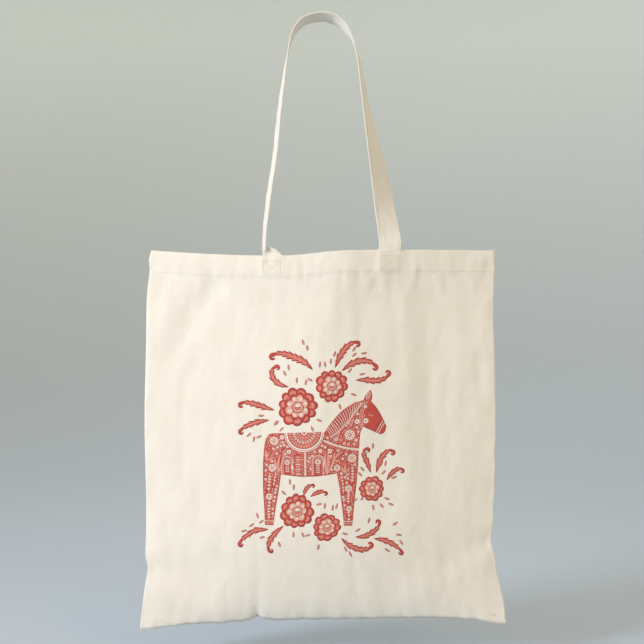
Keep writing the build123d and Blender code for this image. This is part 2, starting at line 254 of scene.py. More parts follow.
def cotton(name, colour, pitch=0.00052, ink=None):
    """Natural cotton with its weave, uneven threads and seed flecks; with ink, the same cloth printed."""
    plain = ink is None
    material, tree, shader = new_material(name, 0.92 if plain else 0.8, 0.25 if plain else 0.1)
    place = node(tree, "ShaderNodeAttribute", attribute_name="flat").outputs["Vector"]
    weave = weave_height(tree, place, pitch)
    weft = noise(tree, place, 1.0, stretch=(18.0, 1400.0, 1.0))
    warp = noise(tree, place, 1.0, stretch=(1400.0, 14.0, 1.0))
    patches = noise(tree, place, 38.0, 3.0)
    threads = calc(tree, "MULTIPLY", calc(tree, "ADD", weft, warp), 0.5)
    base = mix_colour(tree, ramp(tree, threads, 0.36, 0.64), shaded(colour, 0.95), colour)
    base = mix_colour(tree, ramp(tree, patches, 0.35, 0.7, 0.0, 0.35), base, (0.80, 0.73, 0.60, 1.0))
    if plain:
        dots = node(tree, "ShaderNodeTexVoronoi", [("Vector", place), ("Scale", 105.0), ("Randomness", 1.0)])
        size = noise(tree, place, 25.0, 0.0)
        reach = ramp(tree, size, 0.45, 0.75, 0.0, 0.045)
        spot = calc(tree, "LESS_THAN", dots.outputs["Distance"], reach)
        base = mix_colour(tree, calc(tree, "MULTIPLY", spot, 0.55), base, (0.36, 0.25, 0.13, 1.0))
    else:
        wear = calc(tree, "ADD", calc(tree, "MULTIPLY", weave, 0.5), threads)
        mottled = mix_colour(tree, ramp(tree, patches, 0.3, 0.7), ink, shaded(ink, 0.88))
        base = mix_colour(tree, ramp(tree, wear, 0.25, 0.75, 0.88, 1.0), base, mottled)
    tree.links.new(base, shader.inputs["Base Color"])
    smoothest, roughest = (0.86, 0.98) if plain else (0.7, 0.86)
    tree.links.new(ramp(tree, threads, 0.3, 0.7, smoothest, roughest), shader.inputs["Roughness"])
    height = calc(tree, "ADD", calc(tree, "MULTIPLY", weave, 0.6), calc(tree, "MULTIPLY", threads, 0.5))
    relief = node(tree, "ShaderNodeBump", [("Height", height), ("Strength", 0.5), ("Distance", 0.00022)])
    tree.links.new(relief.outputs["Normal"], shader.inputs["Normal"])
    return material


def sewing_thread(name, colour):
    """Twisted cotton thread, with its plies as slanting ridges and painted shade in the grooves between them.
    """
    material, tree, shader = new_material(name, 0.85, 0.2)
    place = node(tree, "ShaderNodeAttribute", attribute_name="flat").outputs["Vector"]
    split = node(tree, "ShaderNodeSeparateXYZ", [(0, place)])
    slant = calc(tree, "ADD", split.outputs[0], split.outputs[1])
    plies = calc(tree, "ABSOLUTE", calc(tree, "SINE", calc(tree, "MULTIPLY", slant, math.pi / 0.0009)))
    fuzz = noise(tree, place, 900.0)
    # painted shade: the thread colour darkens to 0.8 of itself in the grooves between the plies
    base = mix_colour(tree, ramp(tree, plies, 0.0, 0.8), shaded(colour, 0.8), colour)
    base = mix_colour(tree, ramp(tree, fuzz, 0.4, 0.7, 0.0, 0.4), base, (0.78, 0.70, 0.57, 1.0))
    tree.links.new(base, shader.inputs["Base Color"])
    relief = node(tree, "ShaderNodeBump", [("Height", plies), ("Strength", 0.6), ("Distance", 0.00012)])
    tree.links.new(relief.outputs["Normal"], shader.inputs["Normal"])
    return material


CREAM = (0.88, 0.83, 0.735, 1.0)
COTTON = cotton("natural_cotton", CREAM)
HEM_COTTON = cotton("hem_cotton", (0.87, 0.81, 0.695, 1.0))
STRAP_COTTON = cotton("strap_cotton", (0.885, 0.84, 0.745, 1.0), pitch=0.0006)
SEWING = sewing_thread("sewing_thread", (0.88, 0.82, 0.69, 1.0))
INKS = {
    "deep": cotton("deep_red_ink", CREAM, ink=(0.42, 0.034, 0.032, 1.0)),
    "red": cotton("red_ink", CREAM, ink=(0.55, 0.075, 0.055, 1.0)),
    "coral": cotton("coral_ink", CREAM, ink=(0.68, 0.20, 0.145, 1.0)),
    "pink": cotton("pink_ink", CREAM, ink=(0.79, 0.44, 0.345, 1.0)),
}

# ---- the outline of the hanging bag: where its sewn edges lie, by distance along them
LEFT_EDGE = [
    (0, -189), (8, -191), (20, -190.2), (36, -192), (100, -192.5), (160, -192.6), (200, -191.8),
    (225, -190.6), (260, -188.9), (300, -188), (325, -187.6), (336, -185.2), (350, -187), (372, -190),
    (400, -192.6),
]
RIGHT_EDGE = [
    (0, 189.4), (18, 188.6), (60, 187), (145, 187), (195, 186.2), (220, 185.1), (250, 183.8),
    (276, 181.9), (296, 181), (312, 178.8), (327, 182), (345, 184.2), (357, 187), (372, 190),
    (400, 193),
]
TOP_EDGE = [
    (-193.5, 5.5), (-165, 2.6), (-107, -2.2), (-70, -4.2), (-36, -4.8), (8, -1.6), (47, 0.4), (87, 1.9),
    (150, 4), (193.5, 5.5),
]
BOTTOM_EDGE = [
    (-193.5, 0), (-166, 3.5), (-141, 6.8), (-94, 9), (-77, 11.6), (-70, 14.6), (-63, 12.8), (-17, 12.2),
    (28, 12.6), (85, 13.2), (141, 12.6), (166, 10.6), (180, 7.6), (193.5, 6),
]
# u of the soft upright crease of the front, by distance down it
RIDGE = [(0, 24), (60, 12), (130, 4), (260, 0), (400, -6)]


def panel_shape(u, v, front):
    """The hanging shape of a panel before its small folds, as points of the upright bag."""
    left, right = curve(LEFT_EDGE, v), curve(RIGHT_EDGE, v)
    x = left + (right - left) * (u + HALF) / WIDTH
    down = v / HEIGHT
    z = -v + curve(TOP_EDGE, u) * (1 - down) ** 2 + curve(BOTTOM_EDGE, u) * down**2.5
    bow = 1 - (u / HALF) ** 2
    crease = curve(RIDGE, v) if front else -18.0
    soft = 9 + 20 * smooth(20, 160, v)
    away = np.sqrt((u - crease) ** 2 + soft**2) - soft
    side = HALF - np.sign(u - crease) * crease
    roof = 1 - away / (np.sqrt(side**2 + soft**2) - soft)
    pillow = smooth(150, 330, v)
    share = (0.75 if front else 0.35) * (1 - pillow)
    closing = np.clip((v - 285) / (HEIGHT - 285), 0, 1)
    open_by = (1 - closing**2) ** 0.75
    rise = BULGE * (share * roof + (1 - share) * bow) * open_by
    rise = rise * (1 - 0.06 * pillow)
    return np.stack([x, SEAM_Y + (-rise if front else rise), z], -1)


def cloth_normals(points, front):
    """Outward normals of a grid of points with rows down v and columns along u."""
    down, across = np.gradient(points, axis=0), np.gradient(points, axis=1)
    return unit(np.cross(down, across) if front else np.cross(across, down))


SETTLE_STEP = 4.8  # spacing of the simulated cloth
SETTLE_FRAMES = 26
SETTLE_REACH = 3.0  # the most that a point may move


def settle(points, front):
    """Lets the cotton inside the sewn edges find its own folds, in a short cloth simulation."""
    rows, columns = points.shape[:2]
    piece = add_mesh("settling", hang(points), grid_faces(rows, columns, flip=not front), [])
    row, column = np.divmod(np.arange(rows * columns), columns)
    held = (row <= 1) | (row == rows - 1) | (column == 0) | (column == columns - 1)
    pins = piece.vertex_groups.new(name="sewn")
    pins.add([int(i) for i in np.flatnonzero(held)], 1.0, "REPLACE")
    cloth = piece.modifiers.new("cloth", "CLOTH")
    cloth.settings.quality = 6
    cloth.settings.mass = 0.15
    cloth.settings.tension_stiffness = cloth.settings.compression_stiffness = 12
    cloth.settings.shear_stiffness = 6
    cloth.settings.bending_stiffness = 0.35
    cloth.settings.shrink_min = -0.012
    cloth.settings.vertex_group_mass = "sewn"
    cloth.settings.use_pressure = True
    cloth.settings.uniform_pressure_force = 0.12
    cloth.point_cache.frame_end = SETTLE_FRAMES
    scene = bpy.context.scene
    for frame_number in range(1, SETTLE_FRAMES + 1):
        scene.frame_set(frame_number)
    done = piece.evaluated_get(bpy.context.evaluated_depsgraph_get()).to_mesh()
    after = np.zeros(rows * columns * 3, np.float32)
    done.vertices.foreach_get("co", after)
    moved = after.reshape(rows, columns, 3) / MM - hang(points)
    scene.frame_set(1)
    bpy.data.objects.remove(piece)
    length = np.linalg.norm(moved, axis=-1, keepdims=True)
    return moved * np.minimum(1.0, SETTLE_REACH / np.maximum(length, 1e-6))


def spaced(length, step):
    return np.linspace(0, length, round(length / step) + 1)


def edge_packed(step):
    """Places across the cut, close together at the two sewn edges."""
    near = np.array([0, 0.35, 0.8, 1.4, 2.2, 3.4, 5.2])
    middle = np.arange(near[-1] + step, HALF, step)
    side = np.concatenate([near, middle]) - HALF
    side = side[side < -step / 2]
    return np.concatenate([side, [0.0], -side[::-1]])


def resample(table, knots_v, knots_u, v, u):
    """Reads a coarse grid of vectors at finer places."""
    rows = curve(np.column_stack([knots_v, table.reshape(len(knots_v), -1)]), v)
    rows = rows.reshape(len(v), len(knots_u), 3).transpose(1, 0, 2)
    both = curve(np.column_stack([knots_u, rows.reshape(len(knots_u), -1)]), u)
    return both.reshape(len(u), len(v), 3).transpose(1, 0, 2)


class Panel:
    """One side of the bag: its cotton as a fine grid of points and normals over the flat cut."""

    def __init__(self, front):
        self.front = front
        self.us = edge_packed(2.3)
        self.vs = np.concatenate([spaced(30, 1.25)[:-1], 30 + spaced(HEIGHT - 42, 2.3), [391, 394, 397, 400]])
        u, v = np.meshgrid(self.us, self.vs)
        points = hang(panel_shape(u, v, front))
        knots_u = np.linspace(-HALF, HALF, round(WIDTH / SETTLE_STEP) + 1)
        knots_v = np.linspace(0, HEIGHT, round(HEIGHT / SETTLE_STEP) + 1)
        coarse = panel_shape(*np.meshgrid(knots_u, knots_v), front)
        share = smooth(0, 60, HALF - np.abs(u)) * smooth(0, 60, v) * smooth(0, 60, HEIGHT - v)
        moved = resample(settle(coarse, front), knots_v, knots_u, self.vs, self.us)
        points = points + moved * share[..., None]
        normals = cloth_normals(points, front)
        points = points + normals * self.small_folds(u, v)[..., None]
        points[..., 0] += np.sign(u) * self.groove(u)
        self.points, self.normals = points, cloth_normals(points, front)

    def groove(self, u):
        """The two panels roll into the seam between them."""
        return -0.7 * np.exp(-(HALF - np.abs(u)) / 0.5)

    def small_folds(self, u, v):
        """Heights of the hem, the puckers beside the sewing and the slack folds of the hanging cloth."""
        seed = 1 if self.front else 2
        edge = HALF - np.abs(u)
        height = 1.15 * np.sqrt(np.clip(1 - (1 - np.clip(edge / 1.8, 0, 1)) ** 2, 0, 1))
        # the hem is thicker, its sewing line is pulled in, and short upright ripples cross it
        height += 0.5 * (1 - smooth(HEM - 1.5, HEM + 1.5, v))
        height -= 0.3 * bump(v, HEM_STITCH, 1.0)
        uneven = np.clip(0.55 + 0.45 * swell(u, 0 * v, 6, 60, seed + 3), 0.05, 1.3)
        ripples = np.sin(u / 2.7 + 2.6 * np.sin(u / 17.0 + seed)) * uneven
        ripples += 0.7 * swell(u, 0 * v, 6, 34, seed)
        hem_band = smooth(3, 10, v) * (1 - smooth(HEM - 3, HEM + 7, v))
        height += 0.20 * ripples * hem_band * smooth(3, 16, edge)
        pulls = swell(u, v * 0.4, 8, 9, seed + 4)
        height += 0.10 * pulls * bump(v, HEM_STITCH, 4.0)
        for middle in STRAP_U.values():
            across = 1 - smooth(STRAP_WIDTH / 2 - 1, STRAP_WIDTH / 2 + 2.5, np.abs(u - middle))
            height += 0.55 * across * (1 - smooth(HEM - 3, HEM + 1, v))
        # puckers along the sewn sides and the bottom
        height += 0.34 * swell(0 * u, v, 8, 17, seed + 5) * np.exp(-edge / 10.0) * smooth(0.6, 3, edge)
        height += 0.35 * swell(u, 0 * v, 8, 17, seed + 6) * np.exp(-(HEIGHT - v) / 8.0)
        # slack folds
        height += 0.22 * swell(u, v, 14, 70, seed + 7) * smooth(0, 20, edge)
        height += 0.06 * swell(u, v, 20, 16, seed + 8) + 0.11 * swell(u * 2.2, v * 0.6, 16, 42, seed + 9)
        if self.front:
            height += self.front_folds(u, v)
        return height

    def front_folds(self, u, v):
        """The folds of the front: a slack diagonal, the pinched lower corners and a few upright ones."""
        diagonal = (u + 112) * 0.86 + (v - 26) * 0.50
        along = (v - 26) * 0.86 - (u + 112) * 0.50
        height = -1.7 * bump(diagonal, 0, 13) * smooth(-8, 14, along) * (1 - smooth(70, 150, along))
        height += 1.0 * bump(diagonal, -26, 14) * smooth(0, 30, along) * (1 - smooth(60, 120, along))
        for u0, v0, reach, depth in ((-HALF, 336, 40, -1.5), (HALF, 312, 44, -1.7)):
            inward = np.abs(u - u0)
            slant = (v - v0) - 0.30 * inward
            fade = np.exp(-inward / reach)
            height += depth * bump(slant, 0, 7 + 0.12 * inward) * fade * smooth(1, 8, inward)
            height -= 0.6 * depth * bump(slant, 19 + 0.1 * inward, 10) * fade
        height -= 0.8 * bump(u + 70 - 0.16 * (HEIGHT - v), 0, 4) * np.exp(-(HEIGHT - v) / 12)
        upright = ((36, 320, 390, 0.7), (84, 40, 150, 0.5), (-150, 120, 260, 0.5), (118, 60, 200, 0.4))
        for u0, v0, v1, depth in upright:
            height -= depth * bump(u, u0, 6) * smooth(v0, v0 + 25, v) * (1 - smooth(v1 - 25, v1, v))
        band = smooth(10, 60, v) * (1 - smooth(240, 330, v))
        height += (0.9 * bump(u, 92, 13) - 0.9 * bump(u, 123, 15) + 0.5 * bump(u, 152, 12)) * band
        height -= 0.7 * bump(u - 0.12 * (v - 150), HALF - 14, 7) * bump(v, 152, 26)
        height -= 0.9 * bump(u, STRAP_U["left"] - 6 + 0.25 * v, 4.5) * (1 - smooth(4, 24, v))
        return height

    def at(self, u, v, out=0.0):
        """Points on the cotton, out millimetres over its middle. Above the top edge they run straight on."""
        u, v, out = np.broadcast_arrays(*(np.asarray(a, float) for a in (u, v, out)))
        c = np.clip(np.searchsorted(self.us, u) - 1, 0, len(self.us) - 2)
        r = np.clip(np.searchsorted(self.vs, v) - 1, 0, len(self.vs) - 2)
        s = ((u - self.us[c]) / (self.us[c + 1] - self.us[c]))[..., None]
        t = ((v - self.vs[r]) / (self.vs[r + 1] - self.vs[r]))[..., None]
        read = [
            (1 - t) * ((1 - s) * table[r, c] + s * table[r, c + 1])
            + t * ((1 - s) * table[r + 1, c] + s * table[r + 1, c + 1])
            for table in (self.points, self.normals)
        ]
        return read[0] + unit(read[1]) * out[..., None]

    def normal(self, u, v):
        return unit(self.at(u, v, 1.0) - self.at(u, v))


def tag(side):
    return "front" if side.front else "back"


ROLL = 0.75  # radius of the fold over the top edge, at the middle of the cotton


def finish_piece(piece, slot, *nodes, body="bag"):
    """Ties a piece to its body in the frame and hides the CAD nodes that it stands for."""
    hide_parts(*nodes)
    if body is not None:
        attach(piece, body)
    return piece


def make_panel(side):
    """The outer cotton of one side, up to and over the fold at its top edge."""
    turns = np.radians(np.linspace(180, 0, 9))[:-1]
    v = np.concatenate([-ROLL * np.sin(turns), side.vs])
    out = np.concatenate([-ROLL * (1 - np.cos(turns)), 0 * side.vs])
    along = np.concatenate([-ROLL * turns, side.vs])
    u, v = np.meshgrid(side.us, v)
    points = side.at(u, v, out[:, None])
    faces = grid_faces(*u.shape, flip=side.front)
    piece = add_mesh(f"{tag(side)}_panel_cotton", points, faces, [COTTON], pair(u, along[:, None]))
    thicken(piece, CLOTH)
    return finish_piece(piece, "natural_cotton", f"{tag(side)}_panel")


def make_hem(side):
    """The cotton folded inside: down from the top edge, and turned under at its foot."""
    u = side.us[np.abs(side.us) < HALF - 6]
    turn = np.radians(np.linspace(0, 180, 7))[1:]
    inner, under, radius = -2 * ROLL, -ROLL, ROLL / 2
    down = spaced(HEM - radius, 1.5)
    v = np.concatenate([down, down[-1] + radius * np.sin(turn), [HEM - 5, HEM - 9]])
    out = np.concatenate([0 * down + inner, inner + radius * (1 - np.cos(turn)), [under] * 2])
    along = -run_length(pair(v, out))
    u, v = np.meshgrid(u, v)
    points = side.at(u, v, out[:, None])
    faces = grid_faces(*u.shape, flip=not side.front)
    piece = add_mesh(f"{tag(side)}_hem_cotton", points, faces, [HEM_COTTON], pair(u, along[:, None]))
    thicken(piece, CLOTH * 0.8)
    return finish_piece(piece, "natural_cotton", f"{tag(side)}_hem_fold")


# ---- sewing
def read_along(at, length, vectors):
    """Vectors along a line, read at the distances in at."""
    return np.stack([np.interp(at, length, vectors[:, k]) for k in range(3)], -1)


def stitch_row(path, normals, pitch, radius=THREAD, gap=0.16):
    """Single stitches along a path of points: each rises from the cloth, lies on it and dips back in."""
    length = run_length(path)
    count = max(1, int(length[-1] / pitch))
    around = np.radians(np.arange(0, 360, 60))
    lift = np.array([-0.9, 0.35, 0.75, 0.75, 0.35, -0.9]) * radius
    fat = np.array([0.55, 0.95, 1.0, 1.0, 0.95, 0.55]) * radius
    share = np.linspace(gap / 2, 1 - gap / 2, len(lift))
    at = (np.arange(count)[:, None] + share) * length[-1] / count
    centre = read_along(at, length, path)
    up = unit(read_along(at, length, normals))
    along = unit(np.gradient(centre, axis=1))
    across = unit(np.cross(along, up))
    centre = centre + up * lift[:, None]
    spin = across[:, :, None] * np.cos(around)[:, None] + up[:, :, None] * np.sin(around)[:, None]
    points = centre[:, :, None] + spin * fat[:, None, None]
    faces = []
    for i in range(count):
        faces += tube_faces(len(lift), len(around), start=i * len(lift) * len(around))
    return points.reshape(-1, 3), faces, pair(at[..., None], around * radius).reshape(-1, 2)


def sew(name, rows, node_name, body="bag"):
    """One piece of sewing thread from several rows of stitches, in place of its CAD node."""
    points, faces, flat, start = [], [], [], 0
    for row_points, row_faces, row_flat in rows:
        points.append(row_points)
        flat.append(row_flat)
        faces += [tuple(i + start for i in face) for face in row_faces]
        start += len(row_points)
    piece = add_mesh(name, np.concatenate(points), faces, [SEWING], np.concatenate(flat))
    return finish_piece(piece, "cotton_thread", node_name, body=body)


def cloth_path(side, u0, v0, u1, v1, out, step=1.0):
    """A straight line on the flat cut, carried onto the hanging cotton, with its normals."""
    count = max(2, int(math.hypot(u1 - u0, v1 - v0) / step) + 1)
    u, v = np.linspace(u0, u1, count), np.linspace(v0, v1, count)
    return side.at(u, v, out), side.normal(u, v) * (1 if out > 0 else -1)


def make_hem_stitching(side):
    faces = ((HALF - 4, CLOTH / 2), (HALF - 7, -2 * ROLL - CLOTH / 2))
    rows = [stitch_row(*cloth_path(side, -end, HEM_STITCH, end, HEM_STITCH, out), 3.0) for end, out in faces]
    sew(f"{tag(side)}_hem_stitches", rows, f"{tag(side)}_hem_stitching")


BOX = (9.5, 5.0, 19.5)  # half width, top and foot of a sewn box, in u and v


def make_box_stitch(side, name):
    """A sewn box with a cross, through the hem and the strap end, so that it shows inside and out."""
    middle, (half, top, foot) = STRAP_U[name], BOX
    corners = [(middle - half, top), (middle + half, top), (middle + half, foot), (middle - half, foot)]
    legs = [(corners[a], corners[b]) for a, b in ((0, 1), (1, 2), (2, 3), (3, 0), (0, 2), (1, 3))]
    outs = (CLOTH / 2, -2 * ROLL - CLOTH / 2 - STRAP)
    rows = [stitch_row(*cloth_path(side, *a, *b, out), 2.6) for a, b in legs for out in outs]
    sew(f"{tag(side)}_{name}_box_stitches", rows, f"{tag(side)}_{name}_box_stitch")


# ---- straps
# from left to right: x, height, the turn of the strap's width from depth (0) to across (90), any step back
FRONT_LOOP = [
    (-58, -259, 58, 6), (-61.6, -256.8, 28, 10), (-63.6, -253, 13, 11), (-64, -244, 11, 9),
    (-63.2, -228, 12, 4), (-60, -207, 13), (-53.9, -163, 13), (-48, -113, 12), (-43.4, -74, 10),
    (-38.3, -39.5, 4), (-31.3, -16.5, -4),
    (-21.1, -4.6, -8), (-9.8, -0.4, -10), (0, 0.6, -11), (10.5, -1.4, -12), (21.6, -8.6, -10),
    (30.6, -20.6, 0), (37.3, -39.5, 8), (42.4, -69.5, 14), (47, -97.5, 20), (51.8, -122.5, 30),
    (56.7, -148.5, 42), (61.8, -175.5, 54), (66.6, -204.5, 66), (70.7, -229.5, 79), (72.7, -246, 90),
]
BACK_LOOP = [
    (-53.1, -9, 90), (-53.6, -25, 80), (-53.4, -50, 66), (-52, -80, 44), (-49.4, -115, 20),
    (-46, -150, 5), (-41.6, -185, 0), (-35.6, -215, 0), (-26.6, -236, 0), (-14, -248.4, 0),
    (0, -252, 0), (15, -248.4, 0), (28.6, -236, 0), (39, -215, 0), (46.6, -185, 0),
    (53.4, -150, 5), (59.6, -115, 20), (65, -80, 44), (69.4, -50, 66), (72, -25, 80),
    (73, -9, 90),
]
SEWN_OUT = -2 * ROLL - CLOTH / 2 - STRAP / 2  # the middle of a strap end, inside the hem
STRAP_ROW = STRAP_WIDTH / 2 - 2.5  # from the middle of a strap to each row of its stitches
DEPTH = np.array([0.0, 1.0, 0.0])


def loop_stations(loop, hinge, foot):
    """Middle points and width directions along the free part of a strap."""
    points = np.array([(x, hinge[1] + sum(back), z + foot) for x, z, _, *back in loop])
    turns = np.radians([station[2] for station in loop])[:, None]
    along = unit(np.gradient(points, axis=0))
    return points, DEPTH * np.cos(turns) + np.cross(along, DEPTH) * np.sin(turns)


def sewn_stations(side, name, places):
    """Middle points and width directions in the hem, as (v, out) places from the foot of the strap up."""
    u = STRAP_U[name]
    v, out = np.array(places).T
    points = side.at(u, v, out)
    across = unit(side.at(u + 5, v, out) - side.at(u - 5, v, out))
    return points, across


def strap_line(side):
    """The whole strap from the foot of one sewn end to the foot of the other: middle points and widths."""
    if side.front:
        places = [(v, SEWN_OUT) for v in (22, 18, 14, 10, 6)]
        loop, loop_widths = loop_stations(FRONT_LOOP, HINGE, 0.0)
    else:
        places = [(v, SEWN_OUT) for v in (22, 18, 14, 10, 6, 3, 1)]
        places += [(-1.0, SEWN_OUT + 0.25), (-1.9, SEWN_OUT + 1.2), (-2.0, -0.4), (-1.9, 0.7), (-0.9, 1.5)]
        loop, loop_widths = loop_stations(BACK_LOOP, BACK_HINGE, BACK_HINGE[2])
    left, left_widths = sewn_stations(side, "left", places)
    right, right_widths = sewn_stations(side, "right", places)
    sign = np.sign((left_widths[-1] * loop_widths[0]).sum())
    other = np.sign((right_widths[-1] * loop_widths[-1]).sum())
    points = np.concatenate([left, loop, right[::-1]])
    widths = np.concatenate([left_widths * sign, loop_widths, right_widths[::-1] * other])
    return points, widths


def strap_sweep(points, widths, step=2.0):
    """Evenly spaced middle points along a strap, with its directions across the width and out of its face."""
    at = run_length(points)
    spans = [np.linspace(a, b, max(3, int((b - a) / step) + 1)) for a, b in zip(at, at[1:])]
    fine = np.unique(np.concatenate(spans))
    middle = curve(np.column_stack([at, points]), fine)
    width = curve(np.column_stack([at, widths]), fine)
    along = unit(np.gradient(middle, fine, axis=0))
    width = unit(width - along * (width * along).sum(-1, keepdims=True))
    return fine, middle, width, np.cross(along, width)


def strap_outline():
    """The cross-section of a folded strap: round folds at its edges, shallow channels under its stitches."""
    half, thick = STRAP_WIDTH / 2, STRAP / 2
    across = np.linspace(-half + thick, half - thick, 25)
    dip = 0.16 * (bump(across, -STRAP_ROW, 0.9) + bump(across, STRAP_ROW, 0.9))
    crown = 0.10 * bump(across, 0, 6)
    top = pair(across, thick - dip + crown)
    turn = np.radians([60, 20, -20, -60])
    cap = pair(half - thick + thick * np.cos(turn), thick * np.sin(turn))
    return np.concatenate([top, cap, top[::-1] * (1, -1), cap[::-1] * (-1, 1)])


def make_handle(side):
    """A strap in one length, bent over its hinge line, with two rows of stitches on each face."""
    points, widths = strap_line(side)
    at, middle, width, out = strap_sweep(points, widths)
    outline = strap_outline()
    seed = 11 if side.front else 12
    free = smooth(30, 60, at) * smooth(30, 60, at[-1] - at)
    sway = 0.2 * swell(at, 0 * at, 6, 60, seed) * free
    a, b = outline[:, 0], outline[:, 1]
    ripple = 0.10 * swell(at[:, None], a, 10, 11, seed + 2)
    height = b + ripple + sway[:, None]
    surface = middle[:, None] + width[:, None] * a[:, None] + out[:, None] * height[..., None]
    flat = pair(run_length(outline), at[:, None])
    name = tag(side)
    strap = add_mesh(f"{name}_handle_cotton", surface, tube_faces(*surface.shape[:2]), [STRAP_COTTON], flat)
    nodes = [f"{name}_handle_strap", f"{name}_left_handle_end", f"{name}_right_handle_end"]
    finish_piece(strap, "strap_cotton", *nodes, body=None)
    rows = []
    for place in (-STRAP_ROW, STRAP_ROW):
        for face in (-1, 1):
            height = face * (STRAP / 2 - 0.14) + sway
            path = middle + width * place + out * height[:, None]
            rows.append(stitch_row(path, out * face, 3.2, radius=0.24))
    stitches = sew(f"{name}_handle_stitches", rows, f"{name}_handle_stitching", body=None)
    if side.front:
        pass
    else:
        outward = unit(np.array([0, 1.0, -0.15]))
    for piece in (strap, stitches):
        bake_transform(piece)


# ---- the seams inside
ALLOWANCE = 9.5
SEAM_HEIGHT = 0.62  # half the thickness of the pressed seam allowance


def seam_place(kind, along, inward):
    """A point beside a seam: along it from the top or the left, and inward from it, between the panels."""
    if kind == "bottom":
        u, v = along - HALF, HEIGHT - inward
    else:
        u, v = (-1 if kind == "left" else 1) * (HALF - inward), along
    both = [panel.at(u, v) for panel in PANELS]
    return (both[0] + both[1]) / 2


def make_seam(kind):
    """The raw edges of both panels turned inside a seam, and the thread that binds them."""
    length = WIDTH if kind == "bottom" else HEIGHT
    low, high = (12.0, length - 12.0) if kind == "bottom" else (3.0, length - 5.0)
    along = np.linspace(low, high, int((high - low) / 3))
    inward = np.linspace(0.8, ALLOWANCE, 8)
    seed = {"left": 31, "right": 32, "bottom": 33}[kind]
    s, d = np.meshgrid(along, inward, indexing="ij")
    middle = seam_place(kind, s, d)
    out = unit(np.cross(np.gradient(middle, axis=0), np.gradient(middle, axis=1)))

    def sway(s, d):
        return 0.9 * swell(s, 0 * s, 6, 36, seed) * (d / ALLOWANCE) ** 2

    layers = [middle + out * (sway(s, d) + face * SEAM_HEIGHT)[..., None] for face in (1, -1)]
    rim = np.concatenate([layers[0], layers[1][:, ::-1]], axis=1)
    flat = np.concatenate([pair(s, d), pair(s, -d)[:, ::-1]], axis=1)
    strip = add_mesh(f"{kind}_seam_cotton", rim, tube_faces(*rim.shape[:2]), [HEM_COTTON], flat)
    finish_piece(strip, "natural_cotton", f"{kind}_seam_allowance")
    # the overlock thread goes back and forth over the raw edge, on both faces
    zigzag = np.arange(low + 2, high - 2, 1.6)
    reach = np.where(np.arange(len(zigzag)) % 2, ALLOWANCE + 0.3, ALLOWANCE - 4.2)
    rows = []
    lean = read_along(zigzag, along, out[:, -1])
    for face in (1, -1):
        height = sway(zigzag, reach) + face * (SEAM_HEIGHT + 0.05)
        path = seam_place(kind, zigzag, reach) + lean * height[:, None]
        rows.append(stitch_row(path, unit(lean) * face, 5.2, radius=0.2, gap=0.0))
    sew(f"{kind}_overlock_thread", rows, f"{kind}_seam_overlock")


# ---- the print: flat shapes in millimetres right of and above its middle
PRINT_U, PRINT_V, PRINT_GROW = 2.6, 211.4, 1.022  # the middle of the print on the cut, and its enlargement
PRINT_OUT = CLOTH / 2 + 0.07
PRINT_GRID = 3.0  # spacing of the points inside the ink, which let it follow the cloth


def polar(x, z, reach, angle):
    """The point at that reach and angle from x, z."""
    return x + reach * math.cos(angle), z + reach * math.sin(angle)


def ring(x, z, radius, angles):
    return pair(x + radius * np.cos(angles), z + radius * np.sin(angles))


def disc(x, z, radius, count):
    return ring(x, z, radius, np.arange(count) * math.tau / count)


def petal(x, z, direction, length, width, count=5, fat=1.0):
    """A pointed oval that starts at x, z; fat above 1 moves its widest part towards its tip."""
    t = np.linspace(0, 1, count + 1)
    half = width / 2 * np.sin(math.pi * t**fat) ** 0.8
    along, across = np.concatenate([pair(t * length, half), pair(t * length, -half)[-2:0:-1]]).T
    c, s = math.cos(direction), math.sin(direction)
    return pair(x + along * c - across * s, z + along * s + across * c)


def leftward(line):
    """The direction to the left of a line, at each of its points."""
    along = unit(np.gradient(line, axis=0))
    return pair(-along[:, 1], along[:, 0])


def ribbon(line, reach):
    """The outline of a band along a line, which reaches to both sides of it."""
    return np.concatenate([line + reach, (line - reach)[::-1]])


def stroke(points, width, tip=None):
    """A line of that width through the points; tip is its width at both ends."""
    points = np.asarray(points, float)
    half = np.full(len(points), width / 2)
    if tip is not None:
        half[[0, -1]] = tip / 2
    return ribbon(points, leftward(points) * half[:, None])


def arc(x, z, radius, start, end, count):
    return ring(x, z, radius, np.radians(np.linspace(start, end, count)))


def scallops(x, z, radius, count, depth, turn, uneven=0.0):
    """A ring of round petals; uneven makes them differ in width and reach."""
    a = np.radians(np.linspace(0, 360, max(24, count * 8)))
    bent = a - turn + uneven * np.sin(2 * a + 3 * turn) * 2 / count
    wave = np.abs(np.sin(bent * count / 2)) ** 0.62
    return ring(x, z, radius * (1 - depth + depth * wave) * (1 + 0.12 * uneven * np.sin(3 * a + 5 * turn)), a)


def through(points, count):
    """A smooth line through the points, with count steps from each to the next."""
    last = len(points) - 1
    return curve(np.column_stack([np.arange(last + 1), points]), np.linspace(0, last, last * count + 1))


def heading(start, end):
    return math.atan2(end[1] - start[1], end[0] - start[0])


def covers(outline, points):
    """Whether each point lies inside an outline, even where it laps over itself."""
    x, z = points.T
    turns = np.zeros(len(points), int)
    for (x0, z0), (x1, z1) in zip(outline, np.roll(outline, -1, axis=0)):
        if z0 != z1:
            left_of = x0 + (z - z0) * (x1 - x0) / (z1 - z0) > x
            turns += (z0 <= z) & (z1 > z) & left_of
            turns -= (z1 <= z) & (z0 > z) & left_of
    return turns != 0


def edge_distance(outline, x, z):
    """How far a point is from an outline."""
    a, b = outline, np.roll(outline, -1, axis=0)
    d, p = b - a, np.array([x, z]) - a
    t = np.clip((p * d).sum(1) / np.maximum((d * d).sum(1), 1e-9), 0, 1)
    return float(np.linalg.norm(p - d * t[:, None], axis=1).min())


